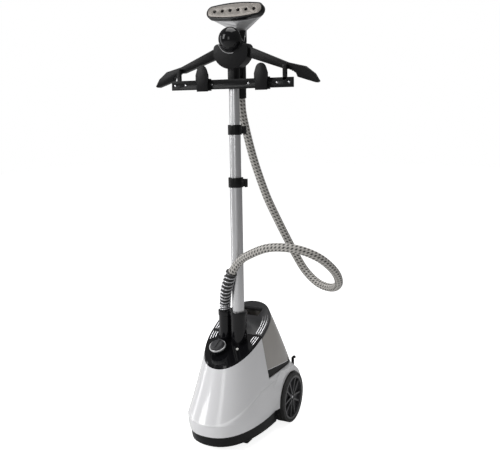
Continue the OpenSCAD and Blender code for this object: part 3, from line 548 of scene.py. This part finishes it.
def add_crease(material: bpy.types.Material) -> None:
    """Adds the moulded line that climbs along the shell to the wheel's hump, with a painted
    highlight: a pale band along its upper edge.

    Args:
        material: The shell's material, whose normal gets the line's step and whose colour gets
            the painted highlight.
    """
    tree = material.node_tree
    shader = tree.nodes["Principled BSDF"]
    before = shader.inputs["Normal"].links[0].from_socket
    coords = node_in(tree, "ShaderNodeTexCoord")
    split = tree.nodes.new("ShaderNodeSeparateXYZ")
    tree.links.new(coords.outputs["Object"], split.inputs[0])
    run = math_node(tree, "SUBTRACT", -0.045, split.outputs[1])
    bend = tree.nodes.new("ShaderNodeMath")
    bend.operation = "SMOOTH_MAX"
    bend.inputs[1].default_value = 0.0
    bend.inputs[2].default_value = 0.03
    tree.links.new(run, bend.inputs[0])
    drop = math_node(tree, "MULTIPLY", bend.outputs[0], 0.37)
    line = math_node(tree, "SUBTRACT", 0.1425, drop)
    line = math_node(tree, "ADD", line, math_node(tree, "MULTIPLY", split.outputs[1], 0.05))
    above = math_node(tree, "SUBTRACT", split.outputs[2], line)
    step = tree.nodes.new("ShaderNodeMapRange")
    step.interpolation_type = "SMOOTHSTEP"
    step.inputs["From Min"].default_value = -0.0035
    step.inputs["From Max"].default_value = 0.0035
    step.inputs["To Min"].default_value = 1.0
    step.inputs["To Max"].default_value = 0.0
    tree.links.new(above, step.inputs["Value"])
    fade = tree.nodes.new("ShaderNodeMapRange")
    fade.inputs["From Min"].default_value = -0.02
    fade.inputs["From Max"].default_value = 0.07
    fade.inputs["To Min"].default_value = 1.0
    fade.inputs["To Max"].default_value = 0.0
    tree.links.new(split.outputs[1], fade.inputs["Value"])
    # A pale band just above the step is a painted highlight, where the crease catches the light.
    edge = tree.nodes.new("ShaderNodeMapRange")
    edge.interpolation_type = "SMOOTHSTEP"
    edge.inputs["From Min"].default_value = 0.0
    edge.inputs["From Max"].default_value = 0.0035
    edge.inputs["To Min"].default_value = 0.55
    edge.inputs["To Max"].default_value = 0.0
    tree.links.new(math_node(tree, "ABSOLUTE", math_node(tree, "SUBTRACT", above, 0.002)),
                   edge.inputs["Value"])
    # The painted highlight lightens the shell's colour along that band.
    crease_painted_highlight = node_in(tree, "ShaderNodeMix", data_type="RGBA")
    tree.links.new(math_node(tree, "MULTIPLY", edge.outputs[0], fade.outputs[0]),
                   crease_painted_highlight.inputs["Factor"])
    tree.links.new(shader.inputs["Base Color"].links[0].from_socket, crease_painted_highlight.inputs[6])
    crease_painted_highlight.inputs[7].default_value = (0.97, 0.97, 0.98, 1)
    tree.links.new(crease_painted_highlight.outputs[2], shader.inputs["Base Color"])
    bump = node_in(tree, "ShaderNodeBump", Strength=1.0, Distance=0.0030)
    tree.links.new(math_node(tree, "MULTIPLY", step.outputs[0], fade.outputs[0]),
                   bump.inputs["Height"])
    tree.links.new(before, bump.inputs["Normal"])
    tree.links.new(bump.outputs["Normal"], shader.inputs["Normal"])


class Palette:
    """Holds the finished materials by name."""

    def __init__(self) -> None:
        """Builds the shared effect and each finish once."""
        grain = build_grain_group()
        self.made = {name: finish.build(grain) for name, finish in FINISHES.items()}
        self.made["hose_braid"] = build_braid()
        add_crease(self.made["white_gloss"])

    def dress(self, obj: bpy.types.Object, name: str) -> None:
        """Gives an object one finish all over."""
        obj.data.materials.clear()
        obj.data.materials.append(self.made[name])
        for face in obj.data.polygons:
            face.material_index = 0


# ---------------------------------------------------------------- scene


@dataclass
class Studio:
    """The floor, the lights and the camera."""

    eye: tuple[float, float, float] = (0.8497, -1.6281, 0.874)
    heading: float = 28.0
    yaw: float = 1.1
    pitch: float = 9.3
    roll: float = 0.93
    lens: float = 50.4

    def camera(self) -> None:
        """Sets the camera."""
        heading, yaw = math.radians(self.heading), math.radians(self.yaw)
        pitch, roll = math.radians(self.pitch), math.radians(self.roll)
        ahead = Vector((-math.sin(heading), math.cos(heading), 0))
        right = Vector((math.cos(heading), math.sin(heading), 0))
        up = Vector((0, 0, 1))
        ahead, right = (ahead * math.cos(yaw) + right * math.sin(yaw),
                        right * math.cos(yaw) - ahead * math.sin(yaw))
        ahead, up = (ahead * math.cos(pitch) - up * math.sin(pitch),
                     up * math.cos(pitch) + ahead * math.sin(pitch))
        right, up = (right * math.cos(roll) - up * math.sin(roll),
                     up * math.cos(roll) + right * math.sin(roll))
        data = bpy.data.cameras.new("view")
        data.lens = self.lens
        data.sensor_width = 36.0
        data.clip_end = 50.0
        camera = bpy.data.objects.new("view", data)
        bpy.context.collection.objects.link(camera)
        turn = Matrix((right, up, -ahead)).transposed()
        camera.matrix_world = Matrix.Translation(self.eye) @ turn.to_4x4()
        bpy.context.scene.camera = camera

    def floor(self) -> None:
        """Lays the pale floor."""
        deselect()
        bpy.ops.mesh.primitive_plane_add(size=14, location=(0, 2, 0))
        floor = settle(bpy.context.object)
        floor.name = "floor"
        material = bpy.data.materials.new("floor_pale")
        material.use_nodes = True
        shader = material.node_tree.nodes["Principled BSDF"]
        tree = material.node_tree
        shader.inputs["Base Color"].default_value = (0.9, 0.9, 0.9, 1)
        shader.inputs["Roughness"].default_value = 0.9
        shader.inputs["Emission Color"].default_value = (1, 1, 1, 1)
        path = tree.nodes.new("ShaderNodeLightPath")
        tree.links.new(math_node(tree, "MULTIPLY", path.outputs["Is Camera Ray"], 0.86),
                       shader.inputs["Emission Strength"])
        floor.data.materials.append(material)

    def lamp(self, name: str, at: Sequence[float], aim: Sequence[float], power: float,
             size: tuple[float, float]) -> None:
        """Adds one soft rectangular light aimed at a point."""
        data = bpy.data.lights.new(name, "AREA")
        data.shape = "RECTANGLE"
        data.size, data.size_y = size
        data.energy = power
        lamp = bpy.data.objects.new(name, data)
        bpy.context.collection.objects.link(lamp)
        lamp.location = at
        way = Vector(aim) - Vector(at)
        lamp.rotation_euler = way.to_track_quat("-Z", "Y").to_euler()

    def lights(self) -> None:
        """Sets the soft boxes and a pale surround."""
        self.lamp("key", (-1.7, -2.0, 1.9), (0, 0, 0.45), 34.0, (0.9, 1.7))
        self.lamp("strip_left", (-1.5, -0.3, 0.8), (-0.05, 0, 0.5), 5.0, (0.35, 1.5))
        self.lamp("front", (0.5, -2.6, 1.2), (0, 0, 0.45), 7.0, (0.7, 1.2))
        self.lamp("top", (0.0, 0.1, 2.6), (0, 0, 0.4), 26.0, (1.5, 1.5))
        world = bpy.data.worlds.new("surround")
        bpy.context.scene.world = world
        world.use_nodes = True
        tree = world.node_tree
        sky = tree.nodes["Background"]
        sky.inputs["Color"].default_value = (1, 1, 1, 1)
        path = tree.nodes.new("ShaderNodeLightPath")
        gain = math_node(tree, "MULTIPLY", path.outputs["Is Camera Ray"], 0.80)
        tree.links.new(math_node(tree, "ADD", gain, 0.20), sky.inputs["Strength"])
        bpy.context.scene.view_settings.view_transform = "Standard"

    def build(self) -> None:
        """Builds the whole studio."""
        self.camera()
        self.floor()
        self.lights()


# ---------------------------------------------------------------- the hose


@dataclass
class Hose:
    """The steam hose: one route in three lengths, and the wire guard at its foot."""

    palette: Palette
    diameter: float = 0.023
    low_end: float = 22.0
    mid_end: float = 24.34
    guard_end: int = 6
    wire: float = 0.0019
    turns: int = 14
    steps: int = 12
    weave_inset: float = 0.0007
    rib_height: float = 0.00022
    ribs_per_metre: float = 104.0
    ribs_around: float = 4.0
    sleeve_radius: float = 0.01215
    coil_radius: float = 0.0155
    ring_gap: float = 0.0020
    points_per_turn: int = 20

    def route(self) -> list[Vector]:
        """Gives the route's chosen points."""
        from_pole = [
            (-40, 0, 335), (-40, 0, 343), (-40, 0, 360), (-32.4, -10.4, 384),
            (-22, -23.6, 409), (-10.9, -31, 433), (-0.4, -33.5, 457), (30, -38, 494),
            (75, -53, 520), (120, -60, 537), (165, -56, 540), (205, -38, 531),
            (240, -10, 508), (260, 30, 471), (258, 68, 436), (238, 98, 412),
            (205, 120, 404), (170, 132, 413), (135, 138, 441), (108, 137, 482),
            (84, 130, 530), (62, 120, 580), (40, 108, 635), (24, 94, 692), (12, 78, 750),
            (4, 60, 812), (0, 44, 866), (0, 38, 905)]
        return [Vector((x * MM, y * MM + POLE_Y, z * MM)) for x, y, z in from_pole]

    def weave(self, turn: float, dist: float) -> float:
        """Gives the radius over the braid's slanting ribs."""
        wave = math.sin(2 * math.pi * (self.ribs_per_metre * dist + self.ribs_around * turn))
        return self.diameter / 2 - self.weave_inset + self.rib_height * wave

    def build(self) -> None:
        """Builds the three lengths and the guard."""
        steps = self.steps
        line = spline(self.route(), steps)
        ends = [0, round(self.low_end * steps), round(self.mid_end * steps), len(line) - 1]
        names = ["hose_foot", "hose_middle", "hose_head"]
        nodes = ["hose_low", "hose_mid", "hose_top"]
        pairs = [("base", "middle_tube"), ("middle_tube", "hanger"), ("hanger", "handset")]
        spans = [((0.170, 0.102, 0.413), (0.170, 0.200, 0.543)),
                 ((0.020, 0.064, 0.640), (0.020, 0.064, 0.750)),
                 ((0.004, 0.030, 0.776), (0.004, 0.030, 0.890))]
        start = 0.0
        for name, node, pair, span, a, b in zip(names, nodes, pairs, spans, ends, ends[1:]):
            part = line[a:b + 1]
            fine = spline(part, 3)
            piece = tube(name, fine, self.weave, 32, start=start)
            start += length_of(fine)
            smooth(piece, 50)
            self.palette.dress(piece, "hose_braid")
            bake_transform(piece)
            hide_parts(node)
            log.info("%s: %.3f m", name, length_of(part))
        self.guard(line[:self.guard_end * steps + 1])

    def guard(self, line: list[Vector]) -> None:
        """Builds the wire guard and the dark sleeve below it.

        Args:
            line: The hose's centre line inside the guard.
        """
        sleeve = tube("guard_sleeve", line, lambda turn, dist: self.sleeve_radius, 24)
        smooth(sleeve, 50)
        self.palette.dress(sleeve, "soft_rubber")
        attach(sleeve, "base")
        frames = frames_along(line)
        reach = self.coil_radius - self.wire
        count = self.turns * self.points_per_turn
        coil = []
        for i in range(count + 1):
            share = i / count * (len(line) - 1)
            k = min(int(share), len(line) - 2)
            t = share - k
            centre = line[k].lerp(line[k + 1], t)
            u = frames[k][0].lerp(frames[k + 1][0], t).normalized()
            v = frames[k][1].lerp(frames[k + 1][1], t).normalized()
            angle = 2 * math.pi * self.turns * i / count
            coil.append(centre + reach * (math.cos(angle) * u + math.sin(angle) * v))
        end = line[-1]
        along = (line[-1] - line[-2]).normalized()
        deselect()
        bpy.ops.mesh.primitive_torus_add(
            major_radius=self.diameter / 2 + self.ring_gap, minor_radius=self.wire,
            major_segments=48, minor_segments=12, location=end,
            rotation=along.to_track_quat("Z", "Y").to_euler())
        ring = settle(bpy.context.object)
        ring.name = "guard_ring"
        smooth(ring, 60)
        self.palette.dress(ring, "rim_grey")
        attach(ring, "base")
        wire = tube("guard_wire", coil, lambda turn, dist: self.wire, 10)
        smooth(wire, 60)
        self.palette.dress(wire, "steel")
        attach(wire, "base")
        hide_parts("spring_guard")


# ---------------------------------------------------------------- refined CAD nodes


class Body(Enum):
    """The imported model's moving bodies."""

    BASE = "base"
    KNOB = "knob"
    WHEEL_LEFT = "wheel_left"
    WHEEL_RIGHT = "wheel_right"
    TANK = "tank"
    CAP = "cap"
    LOWER_CLAMP = "lower_clamp"
    MIDDLE_TUBE = "middle_tube"
    UPPER_CLAMP = "upper_clamp"
    HANGER = "hanger"
    LOCK_KNOB = "lock_knob"
    CLIP_LEFT = "clip_left"
    CLIP_RIGHT = "clip_right"
    PADDLE_LEFT = "paddle_left"
    PADDLE_RIGHT = "paddle_right"
    HANDSET = "handset"


@dataclass(frozen=True)
class Rounding:
    """How one node's edges are rounded for its finished piece."""

    node: str
    body: Body
    finish: str
    width: float = 0.0008
    segments: int = 2
    angle: float = 35.0


class Refiner:
    """Turns plain nodes into pieces with rounded edges and smooth faces."""

    def __init__(self, palette: Palette) -> None:
        """Keeps the palette that dresses the pieces."""
        self.palette = palette

    def refine(self, plan: Rounding) -> bpy.types.Object:
        """Makes a rounded piece from a copy of a node's mesh.

        Args:
            plan: The node, its body, its finish and the rounding.

        Returns:
            The new piece, which replaces the node.
        """
        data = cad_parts[plan.node].data.copy()
        piece = bpy.data.objects.new(plan.node + "_piece", data)
        bpy.context.collection.objects.link(piece)
        take(piece)
        bpy.ops.mesh.customdata_custom_splitnormals_clear()
        bpy.ops.object.mode_set(mode="EDIT")
        bpy.ops.mesh.select_mode(type="VERT")
        bpy.ops.mesh.select_all(action="SELECT")
        bpy.ops.mesh.remove_doubles(threshold=2e-6)
        if plan.width:
            bpy.ops.mesh.dissolve_limited(angle_limit=math.radians(0.8))
        bpy.ops.object.mode_set(mode="OBJECT")
        if plan.width:
            round_edges(piece, plan.width, plan.segments, plan.angle)
        smooth(piece, 38 if plan.width else 24)
        if not plan.width:
            apply_modifier(piece, "WEIGHTED_NORMAL", mode="FACE_AREA_WITH_ANGLE",
                           keep_sharp=True)
        self.palette.dress(piece, plan.finish)
        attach(piece, plan.body.value)
        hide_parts(plan.node)
        return piece

    def build(self) -> None:
        """Refines every visible node whose shape is right but plain."""
        base, tank, hanger = Body.BASE, Body.TANK, Body.HANGER
        plans = [
            Rounding("body_shell", base, "white_gloss", 0.0, 2, 30.0),
            Rounding("top_panel", base, "black_gloss", 0.0009),
            Rounding("pole_socket", base, "black_gloss", 0.0012, 3),
            Rounding("hose_socket", base, "black_gloss", 0.0012, 3),
            Rounding("knob_ring", base, "head_silver", 0.0016, 3),
            Rounding("base_tray", base, "black_satin", 0.0008),
            Rounding("front_feet", base, "soft_rubber", 0.0018, 3),
            Rounding("tank_seat", base, "black_satin", 0.0008),
            Rounding("cord_hook", base, "black_satin", 0.0010),
            Rounding("cord_gland", base, "soft_rubber", 0.0008),
            Rounding("control_knob", Body.KNOB, "knob_grey", 0.0012, 3, 25.0),
            Rounding("tyre_left", Body.WHEEL_LEFT, "tyre_black", 0.0025, 3),
            Rounding("tyre_right", Body.WHEEL_RIGHT, "tyre_black", 0.0025, 3),
            Rounding("rim_left", Body.WHEEL_LEFT, "rim_grey", 0.0008),
            Rounding("rim_right", Body.WHEEL_RIGHT, "rim_grey", 0.0008),
            Rounding("tank_lid", tank, "lid_grey", 0.0012),
            Rounding("tank_shell", tank, "smoke_tank", 0.0),
            Rounding("valve_spring", Body.CAP, "steel", 0.0),
            Rounding("collar_lower", base, "black_satin", 0.0009),
            Rounding("collar_upper", Body.MIDDLE_TUBE, "black_satin", 0.0009),
            Rounding("lever_lower", Body.LOWER_CLAMP, "black_satin", 0.0008),
            Rounding("lever_upper", Body.UPPER_CLAMP, "black_satin", 0.0008),
            Rounding("hanger_hub", hanger, "black_satin", 0.0018, 3),
            Rounding("arm_left", hanger, "black_satin", 0.0016, 3, 25.0),
            Rounding("arm_right", hanger, "black_satin", 0.0016, 3, 25.0),
            Rounding("handset_cradle", hanger, "black_satin", 0.0010),
            Rounding("hub_knob", Body.LOCK_KNOB, "black_gloss", 0.0016, 3),
            Rounding("clip_frame_left", Body.CLIP_LEFT, "black_satin", 0.0006),
            Rounding("clip_frame_right", Body.CLIP_RIGHT, "black_satin", 0.0006),
            Rounding("clip_paddle_left", Body.PADDLE_LEFT, "black_satin", 0.0009),
            Rounding("clip_paddle_right", Body.PADDLE_RIGHT, "black_satin", 0.0009),
            Rounding("steam_plate", Body.HANDSET, "plate_metal", 0.0004),
            Rounding("plate_bezel", Body.HANDSET, "black_gloss", 0.0020, 3),
            Rounding("head_shell", Body.HANDSET, "head_silver", 0.0, 2),
            Rounding("handset_handle", Body.HANDSET, "black_gloss", 0.0012, 3),
            Rounding("handset_trim", Body.HANDSET, "bright_chrome", 0.0006),
        ]
        for plan in plans:
            piece = self.refine(plan)
            log.info("%s: %d faces", piece.name, len(piece.data.polygons))
            if plan.node == "tank_shell":
                self.darken_foot_and_paint_highlight(piece)
            if plan.node == "valve_spring":
                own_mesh(piece)
        self.dress_rest()

    def darken_foot_and_paint_highlight(self, tank: bpy.types.Object) -> None:
        """Makes the tank's foot a black wedge with a bright line, a painted highlight of the
        rim's bead, and its hand hole black.
        """
        at, up = Vector((0, -0.010, 0.1822)), Vector((0, 0.105, 1)).normalized()
        painted_highlight_height = 0.0012
        hole_half, hole_front, hole_rear, hole_low = 0.040, 0.056, 0.100, 0.20
        take(tank)
        bpy.ops.object.mode_set(mode="EDIT")
        for lift in (0.0, painted_highlight_height):
            bpy.ops.mesh.select_all(action="SELECT")
            bpy.ops.mesh.bisect(plane_co=at + lift * up, plane_no=up)
        bpy.ops.object.mode_set(mode="OBJECT")
        tank.data.materials.append(self.palette.made["black_satin"])
        tank.data.materials.append(self.palette.made["bright_chrome"])
        for face in tank.data.polygons:
            height = (face.center - at).dot(up)
            at_hand = (abs(face.center.x - BASE_X) < hole_half
                       and hole_front < face.center.y < hole_rear
                       and face.center.z > hole_low)
            # The thin bright chrome band just above the foot is a painted highlight of the rim's
            # bead.
            if height < painted_highlight_height:
                face.material_index = 1 if height < 0 else 2
            elif at_hand:
                face.material_index = 1

    def dress_rest(self) -> None:
        """Gives each carried-over node its finish."""
        rest = {
            "knob_grey": "rotary_switch", "lens": "indicator_lens",
            "steel": "axle_rod axle_clips tray_screws heating_element",
            "cast_boiler": "boiler boiler_lid", "red_rubber": "boiler_gasket tank_valve",
            "ceramic": "thermostat", "soft_rubber": "steam_pipe water_pipe",
            "black_satin": "seat_valve_post tank_cap",
            "pole_metal": "pole_lower pole_middle pole_upper"}
        for finish, names in rest.items():
            for name in names.split():
                self.palette.dress(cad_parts[name], finish)


@dataclass
class TopTrim:
    """The bright ridges along the edges of the top panel and the tank's lid."""

    palette: Palette
    insets: tuple[float, ...] = (6.5, 13.0, 19.5)
    width: float = 2.6
    height: float = 1.0
    sunk: float = 0.4
    front: float = -122.0
    middle: float = 15.0
    rear: float = 116.0
    half: float = 76.0
    roundness: float = 2.2
    front_height: float = 219.0
    slope: float = 0.485

    def edge(self, y: float, inset: float) -> tuple[float, float]:
        """Gives the half-width and the height of the top at a depth.

        Args:
            y: The place along Y, in millimetres.
            inset: How far inside the edge.

        Returns:
            The half-width and the height, in millimetres.
        """
        end = self.middle - self.front if y < self.middle else self.rear - self.middle
        share = min(abs(y - self.middle) / (end - inset), 1.0)
        half_width = (self.half - inset) * (1 - share ** self.roundness) ** (1 / self.roundness)
        return half_width, self.front_height + self.slope * (y - self.front)

    def ridge(self, name: str, side: int, inset: float, low: float,
              high: float) -> bpy.types.Object:
        """Builds one ridge from a strip with a rounded section."""
        rings = []
        count = 40
        for i in range(count + 1):
            y = low + (high - low) * i / count
            x, z = self.edge(y, inset)
            swell = self.height * math.sqrt(max(0.0, math.sin(math.pi * i / count))) ** 0.5
            ring = []
            for k in range(8):
                angle = math.pi * k / 7
                out = self.width / 2 * math.cos(angle)
                ring.append(Vector(((BASE_X / MM + side * (x + out)), y,
                                    z - self.sunk + swell * math.sin(angle))) * MM)
            rings.append(ring)
        piece = from_rings(name, rings)
        smooth(piece, 60)
        self.palette.dress(piece, "bright_chrome")
        return piece

    def build(self) -> None:
        """Builds every ridge on both sides."""
        for side in (-1, 1):
            tag = "left" if side < 0 else "right"
            for i, inset in enumerate(self.insets):
                panel = self.ridge(f"panel_ridge_{tag}_{i}", side, inset, -40.0 + 5 * i, -9.0)
                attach(panel, "base")
                lid = self.ridge(f"lid_ridge_{tag}_{i}", side, inset, -2.0, 72.0 - 4 * i)
                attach(lid, "tank")


@dataclass
class PaintedHubReflection:
    """A thin silver arc on the hub below the ball: a painted reflection on the hub's raised lip.
    """

    palette: Palette
    radius: float = 0.0345
    thickness: float = 0.0006

    def build(self) -> None:
        """Builds the arc of painted reflection."""
        centre = Vector((0, -0.0476, HUB_Z + 0.038))
        line = [centre + self.radius * Vector((math.cos(a), 0, math.sin(a)))
                for a in (math.radians(195 + 90 * i / 40) for i in range(41))]
        # A silver tube laid where the hub's raised lip reflects the light: a painted reflection.
        arc = tube("hub_lip_painted_reflection", line, lambda turn, dist: self.thickness, 10)
        smooth(arc, 60)
        self.palette.dress(arc, "head_silver")
        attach(arc, "hanger")


@dataclass
class HandsetTrim:
    """The bright strips down the handset's neck and the tab below its plate."""

    palette: Palette
    neck: float = 0.0170
    axis_y: float = 0.008
    taper_top: float = 1.048
    taper: float = 0.125
    strip_radius: float = 0.0011

    def strip(self, name: str, high: tuple[float, float], low: tuple[float, float]) -> None:
        """Builds one strip on the neck between two places.

        Args:
            name: The piece's name.
            high: The upper end's angle in degrees and height.
            low: The lower end's angle in degrees and height.
        """
        line = []
        for i in range(13):
            share = i / 12
            angle = math.radians(high[0] + (low[0] - high[0]) * share)
            z = high[1] + (low[1] - high[1]) * share
            radius = self.neck
            if z <= self.taper_top:
                radius -= (self.taper_top - z) * self.taper
            line.append(Vector((radius * math.cos(angle), self.axis_y + radius * math.sin(angle),
                                z)))
        piece = tube(name, line, lambda turn, dist: self.strip_radius, 12)
        smooth(piece, 60)
        self.palette.dress(piece, "head_silver")
        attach(piece, "handset")

    def tab(self) -> None:
        """Builds the latch tab under the plate's edge."""
        tab = block("latch_tab", (-0.0075, -0.0290, 1.0965), (0.0075, -0.0200, 1.1035))
        pick_faces(tab, lambda face: face.normal.z < -0.5)
        bpy.ops.transform.resize(value=(0.75, 0.8, 1.0))
        bpy.ops.object.mode_set(mode="OBJECT")
        round_edges(tab, 0.0012, 3, 30.0)
        smooth(tab, 38)
        self.palette.dress(tab, "black_satin")
        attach(tab, "handset")

    def build(self) -> None:
        """Builds the strips and the tab."""
        self.strip("neck_strip_right", (-4.0, 1.0735), (-30.0, 1.046))
        self.strip("neck_strip_left", (-78.0, 1.0735), (-42.0, 1.048))
        self.tab()


@dataclass
class TrouserBar:
    """The bar below the arms, with its posts and screws."""

    palette: Palette
    half: float = 0.172
    low: float = 0.928
    high: float = 0.952
    front: float = -0.053
    back: float = -0.046
    post: float = 0.150
    post_top: float = 0.982
    shown: tuple[float, ...] = (0.052, 0.130, 0.162)
    well_radius: float = 0.0031
    head_radius: float = 0.0026

    def post_width(self) -> float:
        """Gives the posts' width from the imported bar's outline."""
        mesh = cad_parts["trouser_bar"].data
        xs = [v.co.x for v in mesh.vertices if v.co.z > self.high + 0.01 and v.co.x > 0]
        return max(xs) - min(xs)

    def build(self) -> None:
        """Builds the bar as one rounded piece and the screws as another."""
        bar = block("trouser_bar_piece", (-self.half, self.front, self.low),
                    (self.half, self.back, self.high))
        wide = self.post_width() / 2
        for side in (-1, 1):
            x = side * self.post
            post = block("post", (x - wide, self.front, self.high - 0.006),
                         (x + wide, self.back, self.post_top))
            cut(bar, post, "UNION")
            peg = block("peg", (x - wide, self.front, self.post_top - 0.006),
                        (x + wide, -0.040, self.post_top))
            cut(bar, peg, "UNION")
        for x in self.shown:
            for side in (-1, 1):
                well = cylinder("well", self.well_radius, 0.002,
                                (side * x, self.front, (self.low + self.high) / 2), Axis.Y, 24)
                cut(bar, well)
        outward(bar)
        round_edges(bar, 0.0009, 2, 40.0)
        smooth(bar, 38)
        self.palette.dress(bar, "black_satin")
        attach(bar, "hanger")
        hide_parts("trouser_bar")
        self.screws()

    def screws(self) -> None:
        """Builds the six screw heads with their cross slots."""
        heads = []
        for x in self.shown:
            for side in (-1, 1):
                at = (side * x, self.front + 0.0007, (self.low + self.high) / 2)
                head = cylinder("head", self.head_radius, 0.0016, at, Axis.Y, 24)
                round_edges(head, 0.0005, 2, 40.0)
                for size in ((0.0016, 0.001, 0.0004), (0.0004, 0.001, 0.0016)):
                    low = [at[0] - size[0], self.front - 0.0010, at[2] - size[2]]
                    high = [at[0] + size[0], self.front + 0.0004, at[2] + size[2]]
                    cut(head, block("slot", low, high))
                heads.append(head)
        deselect()
        for head in heads:
            head.select_set(True)
        bpy.context.view_layer.objects.active = heads[0]
        bpy.ops.object.join()
        screws = heads[0]
        screws.name = "bar_screw_heads"
        smooth(screws, 38)
        self.palette.dress(screws, "steel")
        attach(screws, "hanger")
        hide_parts("bar_screws")


def main() -> None:
    """Builds the studio, the hose and every piece in order."""
    Studio().build()
    palette = Palette()
    Hose(palette).build()
    Refiner(palette).build()
    TopTrim(palette).build()
    PaintedHubReflection(palette).build()
    TrouserBar(palette).build()
    HandsetTrim(palette).build()


if __name__ == "__main__":
    main()
